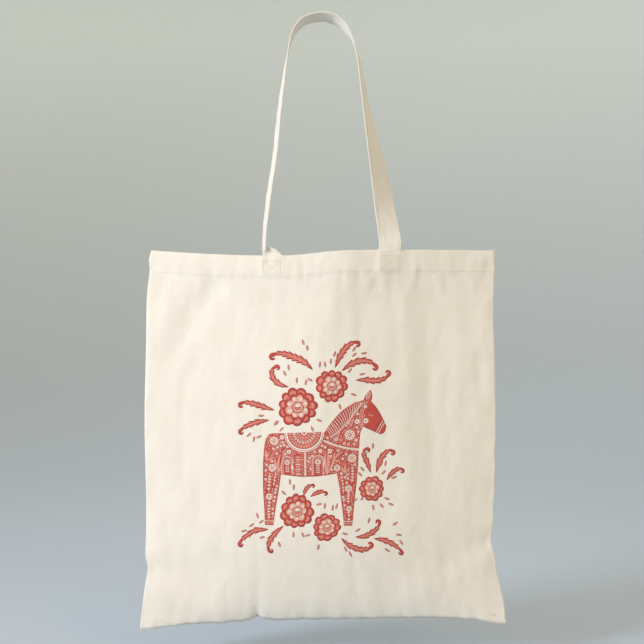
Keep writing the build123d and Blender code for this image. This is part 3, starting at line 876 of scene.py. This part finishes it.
def lay_print(name, shapes, node_name, slot):
    """Lays flat shapes on the front. Later ones cover earlier ones, and ink None leaves the cotton bare."""
    inks = sorted({ink for _, ink in shapes if ink})
    points = np.concatenate([outline for outline, _ in shapes])
    edges, start = [], 0
    for outline, _ in shapes:
        edges += [(start + i, start + (i + 1) % len(outline)) for i in range(len(outline))]
        start += len(outline)
    low, high = points.min(axis=0), points.max(axis=0)
    grid = np.meshgrid(*(np.arange(low[k] + 0.37, high[k], PRINT_GRID) for k in (0, 1)))
    points = np.concatenate([points, pair(*grid).reshape(-1, 2)])
    made = delaunay_2d_cdt([Vector(p) for p in points], edges, [], 0, 1e-4, False)
    flat = np.array([tuple(p) for p in made[0]])
    faces = np.array([face for face in made[2] if len(face) == 3])
    middles = flat[faces].mean(axis=1)
    owner = np.full(len(faces), -1)
    for outline, ink in shapes:
        low, high = outline.min(axis=0), outline.max(axis=0)
        near = np.flatnonzero(((middles > low) & (middles < high)).all(axis=1))
        owner[near[covers(outline, middles[near])]] = inks.index(ink) if ink else -1
    faces, owner = faces[owner >= 0], owner[owner >= 0]
    used, faces = np.unique(faces, return_inverse=True)
    u, v = PRINT_U + PRINT_GROW * flat[used, 0], PRINT_V - PRINT_GROW * flat[used, 1]
    faces = faces.reshape(-1, 3).tolist()
    piece = add_mesh(name, FRONT.at(u, v, PRINT_OUT), faces, [INKS[ink] for ink in inks], pair(u, v), owner)
    thicken(piece, 0.2, -1.0).modifiers["thickness"].use_rim_only = True
    finish_piece(piece, slot, node_name)


HORSE = [
    [(-57, 14), (-61, 6), (-63.2, -14), (-63.6, -42), (-62, -65), (-61, -82.5)],
    [(-52, -82.5), (-49.4, -62), (-46.4, -43), (-44.4, -28.4)],
    [(-44.4, -28.4), (-24, -31.4), (-4, -31.2), (15, -28.4)],
    [(15, -28.4), (18.6, -48), (21.4, -66), (23.4, -84)],
    [(32.4, -84), (34.6, -54), (37.2, -24), (38.6, 0), (40, 15), (43, 20.6)],
    [(43, 20.6), (50, 17.4), (61, 12.4)],
    [(61, 12.4), (65.6, 15), (67.4, 21)],
    [(67.4, 21), (62.4, 32), (57, 41), (51.4, 47.4)],
    [(51.4, 47.4), (52.6, 53.6), (50.8, 60)],
    [(50.8, 60), (46, 55), (43.2, 48.8)],
    [(43.2, 48.8), (33, 46), (20, 37.4), (9.4, 26), (2, 15.4)],
    [(2, 15.4), (-20, 15), (-50, 15.4), (-57, 14)],
]
CREST = HORSE[10]


def horse_outline():
    """The horse's outline: smooth runs that meet at its corners."""
    runs = []
    for run, after in zip(HORSE, HORSE[1:] + HORSE[:1]):
        line = through(run, 6)
        runs.append(line[:-1] if run[-1] == after[0] else line)
    return np.concatenate(runs)


def blossom(x, z, radius, petals, turn=0.0):
    """A flower in pale outline: each petal keeps a coral heart, around a red eye with a pale dot."""
    for i in range(petals):
        a = turn + i * math.tau / petals
        wide = radius * 4.6 / petals
        yield petal(*polar(x, z, 0.22 * radius, a), a, 0.78 * radius, wide, 5, 1.3), None
        if radius > 3:
            yield petal(*polar(x, z, 0.42 * radius, a), a, 0.44 * radius, 0.42 * wide, 4, 1.2), "coral"
    yield disc(x, z, 0.32 * radius, 9), "red"
    yield disc(x, z, 0.17 * radius, 7), None


def sprig(points, leaf, pairs):
    """A stem with paired leaves and a bud."""
    line = through(points, 6)
    yield stroke(line, 0.5), None
    for i in np.linspace(0.12, 0.92, pairs) * (len(line) - 1):
        j = min(int(i), len(line) - 2)
        x, z = line[j] + (line[j + 1] - line[j]) * (i - j)
        for spread in (-0.75, 0.75):
            yield petal(x, z, heading(line[j], line[j + 1]) + spread, leaf, leaf * 0.38, 4, 1.2), None
    tip = heading(*line[-2:])
    yield petal(*line[-1], tip, leaf * 1.2, leaf * 0.55, 5, 1.2), None
    yield petal(*(line[-1] + 0.25 * (line[-1] - line[-3])), tip, leaf * 0.7, leaf * 0.22, 4), "red"


def arch(left, right, foot, top):
    """An upright arch drawn as two lines, with a flower under it."""
    middle, reach = (left + right) / 2, (right - left) / 2
    for inset, width in ((0.0, 0.65), (1.5, 0.4)):
        bend = arc(middle, top - reach, reach - inset, 180, 0, 9)
        line = np.concatenate([[(left + inset, foot)], bend, [(right - inset, foot)]])
        yield stroke(line, width), None
    yield from blossom(middle, top - reach - 0.6, 0.58 * reach, 6, 0.5)
    for z in np.arange(foot + 2.0, top - 1.9 * reach, 2.3):
        for spread in (-0.9, 0.9):
            yield petal(middle, z, math.pi / 2 + spread, 0.45 * reach, 1.0, 4), None


def blades(x, z, tips, width):
    """A fan of long narrow leaves that start from one place."""
    for tx, tz, bow in tips:
        middle = ((x + tx) / 2 - bow * (tz - z) / 12, (z + tz) / 2 + bow * (tx - x) / 12)
        line = through([(x, z), middle, (tx, tz)], 7)
        side = leftward(line) * np.sin(np.linspace(0.15, math.pi, len(line)))[:, None]
        yield ribbon(line, side * width / 2), "pink"
        yield stroke(line[2:-2], 0.3, 0.1), "red"


SADDLE = (-19.5, 15.6, 21.0)  # middle on the back line, and radius
GIRTH_X = -18.6
BREAST_STRAP = [(0.3, 6.6), (10, 2.6), (20, -0.6), (30, -2.6), (38.5, -3.4)]
MANE_LINE = [(7.6, 9.6), (14, 13.6), (20, 19.4), (25, 24.8), (30, 30.6), (35, 36.8), (42.4, 46.8)]
CHEEK_LINE = [(46.4, 49), (41.8, 38), (40.2, 27), (41.8, 19)]


def draw_saddle():
    """A half rosette on the back, with a double border."""
    x, z, radius = SADDLE
    yield arc(x, z, radius, 181, 359, 40), None
    yield arc(x, z, radius - 0.8, 181, 359, 40), "red"
    yield arc(x, z, radius - 1.6, 180, 360, 38), None
    yield arc(x, z, radius - 3.2, 180, 360, 36), "red"
    for a in np.radians(np.arange(184, 359, 7.6)):
        yield disc(*polar(x, z, radius - 1.2, a), 0.36, 6), None
    for reach, length, width, count, ink in (
        (13.2, 3.9, 2.0, 17, "pink"), (8.7, 3.8, 1.9, 12, None), (4.3, 3.6, 1.8, 8, "pink"),
    ):
        for i in range(count):
            a = math.radians(180 + (i + 0.5) * 180 / count)
            yield petal(*polar(x, z, reach, a), a, length, width, 5, 1.3), ink
            yield petal(*polar(x, z, reach + 0.9, a), a, length * 0.5, width * 0.35, 3), "red"
    for reach, count in ((13.0, 16), (8.5, 11)):
        for i in range(count):
            a = math.radians(180 + (i + 1) * 180 / (count + 1))
            yield disc(*polar(x, z, reach, a), 0.42, 6), None
    yield arc(x, z, 3.2, 182, 358, 12), None
    yield arc(x, z, 1.9, 182, 358, 8), "red"


def draw_harness():
    """The girth, the breast strap and the bridle."""
    yield stroke([(GIRTH_X, -5.6), (GIRTH_X, -30.8)], 0.8), None
    for z in np.arange(-6.6, -30.4, -1.55):
        for spread in (-2.0, 2.0):
            yield petal(GIRTH_X, z + 0.4, math.pi / 2 + spread, 1.9, 0.7, 3), None
    line = through(BREAST_STRAP, 7)
    yield stroke(line, 0.8), None
    for here, after in zip(line[1:], line[2:]):
        for spread in (-1.15, 1.15):
            yield petal(*here, heading(here, after) + spread, 1.7, 1.0, 4, 1.3), None
    for shift in (0.0, 2.3):
        low, middle = (56.2 + shift, 13.6 - 0.6 * shift), (58.8 + shift, 19.0 - 0.3 * shift)
        yield stroke(through([low, middle, (63.4 + 0.8 * shift, 27.0 - shift)], 5), 0.75), None
    cheek = through(CHEEK_LINE, 9)
    for x, z in cheek[2:-1:2]:
        yield disc(x, z, 0.6, 7), None
    for side in (-1.6, 1.6):
        yield stroke(cheek + (side, 0), 0.4), None


def draw_mane():
    """Pale strands from the neck line to the crest."""
    line, crest = through(MANE_LINE, 10), through(CREST[::-1], 10)
    yield stroke(line, 1.5, 0.5), None
    yield stroke(line, 0.5, 0.2), "red"
    for share in np.linspace(0.03, 0.94, 18):
        foot = line[int(share * (len(line) - 1))]
        head = crest[int((0.05 + 0.92 * share) * (len(crest) - 1))]
        bend = (foot + head) / 2 + (0.7, 0.4)
        yield stroke(through([foot, bend, foot + (head - foot) * 0.97], 3), 0.62, 0.4), None


def draw_face():
    """A small closed eye, a cheek flower and the ear."""
    yield stroke(arc(51.4, 35.6, 3.2, 200, 320, 8), 0.5, 0.2), "pink"
    for a in (225, 250, 275, 300):
        yield petal(*arc(51.4, 35.6, 3.4, a, a, 1)[0], math.radians(a), 1.3, 0.4, 3), "pink"
    yield from blossom(45.6, 27.0, 2.9, 6)
    yield from blossom(45.4, 42.0, 1.7, 5)
    yield petal(46.4, 49.6, math.radians(64), 9.0, 4.4), None
    yield petal(46.8, 50.4, math.radians(64), 7.4, 3.1), "red"
    yield petal(47.2, 51.4, math.radians(64), 4.6, 1.3), "pink"


# x, z, reach and petals of the flowers on the horse
BLOSSOMS = [
    (28.6, 12.2, 6, 8), (-51.4, 7.2, 5, 7), (31, -12.4, 5, 7), (-53.6, -21.6, 4.4, 6),
    (7.6, -4.6, 2.6, 6), (15.2, -22.6, 3.9, 6), (36.2, 26.4, 2.9, 6), (-43, 11, 2.6, 5),
    (-35.6, -4.6, 2.5, 6), (-56.8, -52.2, 3.9, 6), (27.4, -44.6, 4, 6), (28.6, -66, 3.4, 6),
    (14, 7.8, 2, 5), (-2.6, -4.4, 2.3, 6), (35.2, 6.6, 2, 5),
]
# foot x and z of each fan of blades, tip x, tip z and bow of its blades, and their width
FANS = [
    (4.6, -29.2, [(3.4, -4, 0.8), (5.6, -1.4, -0.3), (12.4, -9.4, -0.8)], 2.3),
    (-46.6, -26, [(-44.4, -6, 0.9), (-41.6, -1.4, -0.9), (-50.6, -9, 0.9)], 2.1),
    (11.4, -14.4, [(21.4, -5.4, 0.7), (19, -15.4, -0.6), (13.4, -5.4, 0.4)], 2),
    (24, -28, [(24.4, -17, 0.6), (28.6, -21, -0.8), (19.6, -20.6, 0.6)], 1.9),
    (16, 7.4, [(18.6, 17.4, 0.6), (22, 7, -0.6), (11, 10.4, 0.8)], 1.8),
    (30.4, 21, [(33.2, 31.4, 0.5), (28, 26.4, 0.7)], 1.8),
    (-60, -13.6, [(-55.6, -3.4, 0.7), (-59.6, -1.6, 0.5), (-51.4, -10, -0.6)], 1.9),
]
# the stem, leaf length and pairs of leaves of each sprig
SPRIGS = [
    ([(-56.8, -77.4), (-57.2, -68), (-56.6, -58)], 2.7, 6),
    ([(-57.8, -47.4), (-57, -38), (-56.4, -31)], 2.7, 5),
    ([(-52.2, -41), (-51.2, -34), (-50, -28)], 2, 4),
    ([(28.2, -79.4), (28.6, -74), (28.2, -70.4)], 2.4, 3),
    ([(27.8, -60.6), (27.4, -55), (27.6, -50.4)], 2.6, 4),
    ([(30.6, -38.6), (31.6, -30.6), (31.4, -22.6)], 2.7, 5),
    ([(22.4, -50), (21.4, -41), (20, -32)], 2, 5),
    ([(24, 20.6), (26.6, 23.6), (28.4, 27.2)], 1.8, 3),
]


def dress_horse(taken):
    """The larger flowers, arches and leaves of the body and legs. Adds the places that they take up."""
    for i, (x, z, reach, petals) in enumerate(BLOSSOMS):
        if reach > 3.9:
            for a in np.arange(petals) * math.tau / petals + 0.3 * i + math.pi / petals:
                yield disc(*polar(x, z, 0.92 * reach, a), 0.42, 6), None
        yield from blossom(x, z, reach, petals, 0.3 * i)
        taken.append((x, z, reach + 0.4))
    yield from arch(-43.4, -31.8, -28.2, -9.4)
    yield from arch(-11.2, 0.8, -30.0, -9.4)
    taken += [(x, z, 6.2) for x in (-37.6, -5.2) for z in (-15.2, -20.0, -25.0)]
    for i, z in enumerate(np.arange(-10.6, -29.5, -2.6)):
        yield petal(-29.2, z, 0.0, 6.2, 1.7, 6), None if i % 2 else "pink"
        yield petal(-28.0, z, 0.0, 3.8, 0.6, 4), "red"
    taken += [(-26.2, z, 3.3) for z in np.arange(-10, -30, -2.6)]
    for x, z, tips, width in FANS:
        yield from blades(x, z, tips, width)
        for tx, tz, _ in tips:
            taken += [(x + (tx - x) * t, z + (tz - z) * t, 1.25) for t in np.linspace(0.1, 1, 9)]
    for points, leaf, pairs in SPRIGS:
        yield from sprig(points, leaf, pairs)
        taken += [(x, z, leaf * 0.95) for x, z in through(points, 4)]
    for left, right, z in ((-62.0, -51.8, -81.6), (23.2, 32.6, -83.0)):
        for x in np.arange(left + 0.7, right, 1.35):
            yield petal(x, z, math.pi / 2, 2.7, 0.75, 4), "pink"
        yield stroke([(left - 1, z + 3.6), (right + 1, z + 3.6)], 0.6), None


def fill_horse(outline, taken):
    """Fills the gaps that are left on the body, the neck and the legs with seeds and dots."""
    x, z, radius = SADDLE
    taken.append((x, z, radius + 0.5))
    taken += [(GIRTH_X, height, 1.9) for height in np.arange(-6, -32, -1.5)]
    for line, count, reach in ((BREAST_STRAP, 10, 2.0), (MANE_LINE, 12, 1.1), (CHEEK_LINE, 8, 2.3)):
        taken += [(px, pz, reach) for px, pz in through(line, count)]
    mane = np.concatenate([through(MANE_LINE, 6), through(CREST, 6)])
    rng = random.Random(7)
    low, high = outline.min(axis=0), outline.max(axis=0)
    for reach, tries in ((1.5, 3000), (0.95, 6000), (0.5, 9000), (0.32, 9000)):
        spots = [(rng.uniform(low[0], 44.0), rng.uniform(low[1] + 5.0, high[1])) for _ in range(tries)]
        spots = np.array(spots)
        spots = spots[covers(outline, spots) & ~covers(mane, spots)]
        for px, pz in spots:
            xs, zs, reaches = np.array(taken).T
            crowded = (np.hypot(xs - px, zs - pz) < reaches + reach).any()
            if crowded or edge_distance(outline, px, pz) < reach + 0.8:
                continue
            taken.append((px, pz, reach + 0.28))
            if reach > 1.2:
                yield from blossom(px, pz, reach, 5, rng.uniform(0, 1))
            elif reach > 0.6:
                lean = rng.uniform(0, math.pi)
                tail = polar(px, pz, -reach, lean)
                yield petal(*tail, lean, 2 * reach, 0.85, 4), rng.choice((None, "pink"))
            else:
                yield disc(px, pz, reach, 6), rng.choice((None, None, "pink"))


def make_horse():
    """The dala horse, with the places that its ornaments take up passed on to what fills the gaps."""
    outline, taken = horse_outline(), []
    shapes = [(outline, "red"), *draw_saddle(), *draw_harness(), *draw_mane(), *draw_face()]
    shapes += [*dress_horse(taken), *fill_horse(outline, taken)]
    lay_print("horse_ink", shapes, "horse_print", "red_ink")


# x, z, radius, and the directions in which loose seeds lie
FLOWERS = [
    (-26.7, 43, 21, (-35, -55, 70, 92, 216, 236)),
    (9.4, 64.5, 17.5, (-68, -22, 108, 38, 165)),
    (52.4, -45, 13.6, (-35, -60, -85, 215, 128, 56)),
    (-27, -68.2, 18.4, (18, 100, 124, -75, -98)),
    (5.2, -85.3, 15, (72, 98, -20, -112, 205)),
]
# the midrib of each leaf from its foot, and the way that its tip curls: 1 left, -1 right
LEAVES = [
    ([(-10.5, 82), (-20, 91), (-33, 97.6), (-45, 101.2), (-53.6, 99.6)], 1),
    ([(-36, 64.5), (-46, 68.2), (-53, 75.4), (-53.6, 83.4), (-49.6, 87)], -1),
    ([(13, 83.6), (18, 95), (25, 105), (32, 110), (37, 110.2)], -1),
    ([(20, 80), (29, 86.6), (40, 90.4), (50, 89.4), (56.6, 85)], -1),
    ([(35, 70), (45, 70.4), (56, 69.4), (65.6, 71.8), (70.4, 76)], 1),
    ([(-51, 40), (-62, 43.2), (-74, 46.8), (-82, 48.6), (-87, 47.4)], 1),
    ([(-56.4, 29.6), (-66, 27.6), (-77, 24.4), (-83.6, 21.4), (-87.4, 18.2)], 1),
    ([(51, -28), (47.6, -18), (44.4, -10.6), (44, -5), (46.6, -2.8)], -1),
    ([(57, -28), (60.6, -16), (66, -8), (71, -4.6), (74.6, -5.4)], -1),
    ([(68, -36), (72.6, -30), (77.6, -25.6), (82, -24), (85, -25)], -1),
    ([(-20, -52), (-18.4, -46.4), (-15, -42), (-11, -40.4)], -1),
    ([(-13, -53), (-7.6, -49.6), (-1.4, -47.6), (3.4, -48.4)], -1),
    ([(-57, -87), (-67, -88.8), (-77, -92), (-84, -96.4), (-87.6, -101)], 1),
    ([(-41, -83), (-48.6, -90), (-54.4, -98.4), (-57, -105.4), (-56.8, -109.4)], 1),
    ([(22, -97), (30, -104.6), (40, -109), (49, -108.6), (53.6, -106)], 1),
    ([(37, -96), (47, -95.2), (56, -90.6), (60.6, -85), (61.6, -81)], 1),
    ([(57, -98), (67, -99.6), (76, -103.6), (82, -108.4), (84.6, -112)], -1),
]
# x, z and direction of the seeds that lie among the leaves
LOOSE_SEEDS = [
    (-19.6, 109, 110), (-15.8, 102.4, 98), (-35.6, 82.4, 98), (-38.6, 76.6, 118), (-3.4, 84, 85),
    (8.4, 87, 88), (11.4, 95, 70), (31.4, 100.6, 50), (31, 95, 38), (40.6, 98, 8),
    (38.6, 75.6, 12), (-68.6, 33.8, 2), (-70.4, 9.4, 30), (-73.6, 5.4, 75), (-80.6, 11.4, 40),
    (-51.4, 23.4, 60), (53, -3, 85), (40, -21.6, -50), (61.4, -21.4, 70), (66.4, -21.6, 80),
    (73, -34.4, 20), (41, -57.6, 60), (70.4, -60.6, -20), (-70.4, -70.6, -70),
    (-78.6, -84.6, 20), (-86.6, -89, 12), (-67.6, -82, 40), (-66.4, -97.4, 20), (-45.6, -99.4, -75),
    (-34.6, -40, 95), (14.6, -66.4, 75), (49.6, -82, 80), (51.6, -89.4, 5), (75.6, -84, 30),
    (80.4, -93.6, -10), (84.6, -99.4, -60), (24.4, -105.4, -75), (28.6, -110.6, -80),
    (66.6, -108.4, -35), (36, -90.4, 30),
]


def draw_flower(x, z, radius, turn):
    """A full-blown flower: outlined outer petals, a dark ring, pale inner petals and a small cup."""
    outer, inner = (11, 8) if radius > 16 else (10, 7)
    for share, depth, ink in ((1.0, 0.17, "deep"), (0.92, 0.18, "red"), (0.85, 0.20, "coral")):
        yield scallops(x, z, radius * share, outer, depth, turn, 0.35), ink
    for i in range(outer):
        a = turn + i * math.tau / outer
        a -= 0.35 * math.sin(2 * a + 3 * turn) * 2 / outer
        line = [polar(x, z, share * radius, a) for share in (0.60, 0.70, 0.80)]
        yield stroke(line, radius * 0.060, radius * 0.10), "deep"
        a += math.pi / outer
        for b in (a - 0.11, a, a + 0.11):
            yield petal(*polar(x, z, 0.72 * radius, b), b, radius * 0.11, radius * 0.030, 3), "pink"
    for share, depth, ink in ((0.72, 0.24, "deep"), (0.655, 0.25, "red"), (0.575, 0.28, "pink")):
        yield scallops(x, z, radius * share, inner, depth, turn + 0.4, 0.6), ink
    for i in range(inner):
        a = turn + 0.4 + (i + 0.5) * math.tau / inner
        yield petal(*polar(x, z, 0.29 * radius, a), a, radius * 0.25, radius * 0.15, 6, 1.4), None
    for i in range(inner * 3):
        a = turn + 0.4 + (i + 0.5) * math.tau / (inner * 3)
        length = radius * (0.22 if i % 3 == 1 else 0.14)
        yield petal(*polar(x, z, 0.30 * radius, a), a, length, radius * 0.022, 3), "coral"
    cup = (x + 0.02 * radius, z - 0.02 * radius)
    yield scallops(*cup, radius * 0.31, 6, 0.22, turn), "deep"
    yield scallops(*cup, radius * 0.255, 6, 0.22, turn), "pink"
    for a, reach in ((1.0, 0.19), (1.4, 0.25), (1.8, 0.25), (2.2, 0.19), (2.6, 0.15)):
        yield petal(*cup, a, radius * reach, radius * 0.05, 4, 1.3), None
    yield arc(cup[0], cup[1] + 0.02 * radius, radius * 0.17, 180, 360, 10), "deep"
    yield arc(*cup, radius * 0.13, 180, 360, 9), "coral"


def make_flowers():
    shapes = []
    for i, (x, z, radius, _) in enumerate(FLOWERS):
        shapes += draw_flower(x, z, radius, 0.4 + 0.9 * i)
    lay_print("flower_ink", shapes, "flower_prints", "coral_ink")


def leaf_spine(points, curl):
    """The midrib of a leaf with its tip rolled up, its distances at even steps, and where the roll starts."""
    line = through(points, 12)
    reach = run_length(line)[-1]
    radius = 1.1 + 0.034 * reach
    tip, turn = [line[-1]], heading(line[-3], line[-1])
    for i in range(16):
        turn += curl * 0.27
        step = 0.27 * radius * (1 - 0.030 * i)
        tip.append(tip[-1] + step * np.array([math.cos(turn), math.sin(turn)]))
    line = np.concatenate([line, tip[1:]])
    length = run_length(line)
    fine = np.linspace(0, length[-1], 110)
    return curve(np.column_stack([length, line]), fine), fine, reach


def draw_leaf(points, curl):
    """A curled leaf of barbed lobes: a dark outline, coral flesh and dark folds between the lobes."""
    spine, at, reach = leaf_spine(points, curl)
    along, side = unit(np.gradient(spine, axis=0)), leftward(spine)
    share = at / reach
    full = 1.7 + 0.060 * reach
    body = full * smooth(-0.03, 0.32, share) ** 0.8 * (1 - 0.52 * smooth(0.55, 1.0, share))
    body = body * (1 - 0.6 * smooth(1.0, at[-1] / reach, share))
    lobes = max(4, round(reach / 6.5))
    saw = np.mod(share * lobes, 1.0)
    fold = smooth(0.05, 0.14, share) * (1 - smooth(0.92, 1.0, share))
    edges = [body * (1.06 - (0.60 if hand == curl else 0.50) * (1 - saw) * fold) for hand in (1, -1)]
    lean = along * (2.2 * saw * fold * body / full)[:, None]
    for shrink, ink in ((0.0, "deep"), (0.85, "red"), (1.5, "coral")):
        inner = body > 1.6 * shrink
        left = spine + lean + side * np.maximum(edges[0] - shrink, 0.04)[:, None]
        right = spine + lean - side * np.maximum(edges[1] - shrink, 0.04)[:, None]
        yield np.concatenate([left[inner], right[inner][::-1]]), ink
    for lobe in range(1, lobes):
        i = int(np.searchsorted(share, lobe / lobes)) - 1
        for hand, edge in ((1, edges[0]), (-1, edges[1])):
            j = max(0, i - 7)
            foot, tip = spine[j], spine[i] + lean[i] + side[i] * hand * edge[i] * 0.9
            yield stroke([foot, (foot + tip) / 2 + side[i] * hand * 0.25, tip], 0.5, 0.3), "deep"
    vein = (share > 0.10) & (share < 0.86)
    yield stroke(spine[vein], 0.34, 0.1), "pink"


def make_leaves():
    shapes = [shape for points, curl in LEAVES for shape in draw_leaf(points, curl)]
    lay_print("leaf_ink", shapes, "leaf_prints", "deep_red_ink")


def make_seeds():
    """Small outlined seeds around the flowers and among the leaves."""
    places = [
        (*polar(x, z, radius + 3.0 + 1.4 * (i % 2), math.radians(a)), a + 14 * math.sin(3.0 * a))
        for x, z, radius, directions in FLOWERS
        for i, a in enumerate(directions)
    ]
    shapes = []
    for x, z, degrees in places + LOOSE_SEEDS:
        a = math.radians(degrees)
        shapes.append((petal(x, z, a, 6.8, 2.4, 6), "deep"))
        shapes.append((petal(*polar(x, z, 1.1, a), a, 4.6, 1.0, 5), "pink"))
    lay_print("seed_ink", shapes, "seed_prints", "deep_red_ink")


# ---- the stage
STAGE_RADIUS, STAGE_RIM, STAGE_TOP = 4.4, 3.2, 4.0  # in metres, like the clear height under the bag
CLEAR_UNDER_BAG = 0.03
STAGE_COLUMNS = 64
# painted shade and light of the backdrop: the floor tone is darker, the high tone paler
FLOOR_PAINTED_SHADE_TONE, HIGH_PAINTED_LIGHT_TONE = (0.44, 0.53, 0.65, 1.0), (0.78, 0.90, 1.0, 1.0)


def make_stage():
    """A pale floor that curves up far behind, all the way round, with painted shade: darker on the floor and
    paler up the curve.
    """
    flat, floor = STAGE_RADIUS - STAGE_RIM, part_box("front_panel")[0].z - CLEAR_UNDER_BAG
    profile = [(0.0, 0.0), (flat, 0.0)]
    for a in np.radians(np.arange(5, 91, 5)):
        profile.append((flat + STAGE_RIM * math.sin(a), STAGE_RIM * (1 - math.cos(a))))
    profile.append((STAGE_RADIUS, STAGE_TOP))
    points = [
        (*polar(0.0, 0.0, r, a), z + floor)
        for r, z in profile
        for a in np.arange(STAGE_COLUMNS) * math.tau / STAGE_COLUMNS
    ]
    faces = grid_faces(len(profile), STAGE_COLUMNS, wrap=True)
    stage = add_mesh("floor", np.array(points) / MM, faces, [])
    material, tree, shader = new_material("pale_floor_painted_shade", 0.9)
    place = node(tree, "ShaderNodeTexCoord").outputs["Object"]
    height = node(tree, "ShaderNodeSeparateXYZ", [(0, place)]).outputs[2]
    patch = calc(tree, "MULTIPLY", noise(tree, place, 1.5), 0.05)
    # painted shade: the colour goes from the darker floor tone to the paler high tone over the first 1.6 m of
    # height, with a little random patchiness
    share = calc(tree, "ADD", ramp(tree, height, floor, floor + 1.6), patch)
    tree.links.new(mix_colour(tree, share, FLOOR_PAINTED_SHADE_TONE, HIGH_PAINTED_LIGHT_TONE), shader.inputs["Base Color"])
    stage.data.materials.append(material)


LIT_PLACE = (0.0, 0.0, -0.2)  # just above the top edge of the bag, where every lamp points


def add_light(name, place, size, spread, power, colour):
    """A round soft lamp whose beam opens by spread degrees. The lamp itself doesn't show."""
    data = bpy.data.lights.new(name, "AREA")
    data.shape, data.size, data.energy, data.color = "DISK", size, power, colour
    data.spread = math.radians(spread)
    light = bpy.data.objects.new(name, data)
    light.visible_camera = False
    light.location = place
    light.rotation_euler = (Vector(LIT_PLACE) - Vector(place)).to_track_quat("-Z", "Y").to_euler()
    bpy.context.scene.collection.objects.link(light)


def make_lights():
    """A large soft light from the left, a weaker warm one from the right, and a pale surround."""
    add_light("key", (-2.2, -1.35, 0.4), 0.9, 88, 14.1, (0.88, 0.895, 1.0))
    add_light("fill", (1.6, -2.0, 0.5), 1.3, 80, 2.2, (1.0, 0.70, 0.42))
    add_light("back", (0.4, 2.3, 0.9), 1.8, 90, 3.4, (0.88, 0.94, 1.0))
    world = bpy.data.worlds.new("surround")
    world.use_nodes = True
    surround = world.node_tree.nodes["Background"].inputs
    surround["Color"].default_value = (1.0, 0.82, 0.58, 1.0)
    surround["Strength"].default_value = 0.91
    bpy.context.scene.world = world
    bpy.context.scene.view_settings.view_transform = "Standard"


CAMERA_PLACE = (-0.001, -1.3, -0.329)
CAMERA_LENS, CAMERA_SENSOR = 67.3, 36.0


def make_camera():
    """Level with the middle of the picture, straight in front of the hanging bag."""
    data = bpy.data.cameras.new("camera")
    data.lens, data.sensor_width = CAMERA_LENS, CAMERA_SENSOR
    camera = bpy.data.objects.new("camera", data)
    camera.location = CAMERA_PLACE
    camera.rotation_euler = (math.pi / 2, 0, 0)
    bpy.context.scene.collection.objects.link(camera)
    bpy.context.scene.camera = camera


make_camera()
make_lights()
make_stage()
FRONT, BACK = Panel(True), Panel(False)
PANELS = (FRONT, BACK)
for panel in PANELS:
    cloth, hem, name = make_panel(panel), make_hem(panel), tag(panel)
    make_hem_stitching(panel)
    for end in STRAP_U:
        make_box_stitch(panel, end)
    make_handle(panel)
for seam in ("left", "right", "bottom"):
    make_seam(seam)
make_horse()
make_flowers()
make_leaves()
make_seeds()
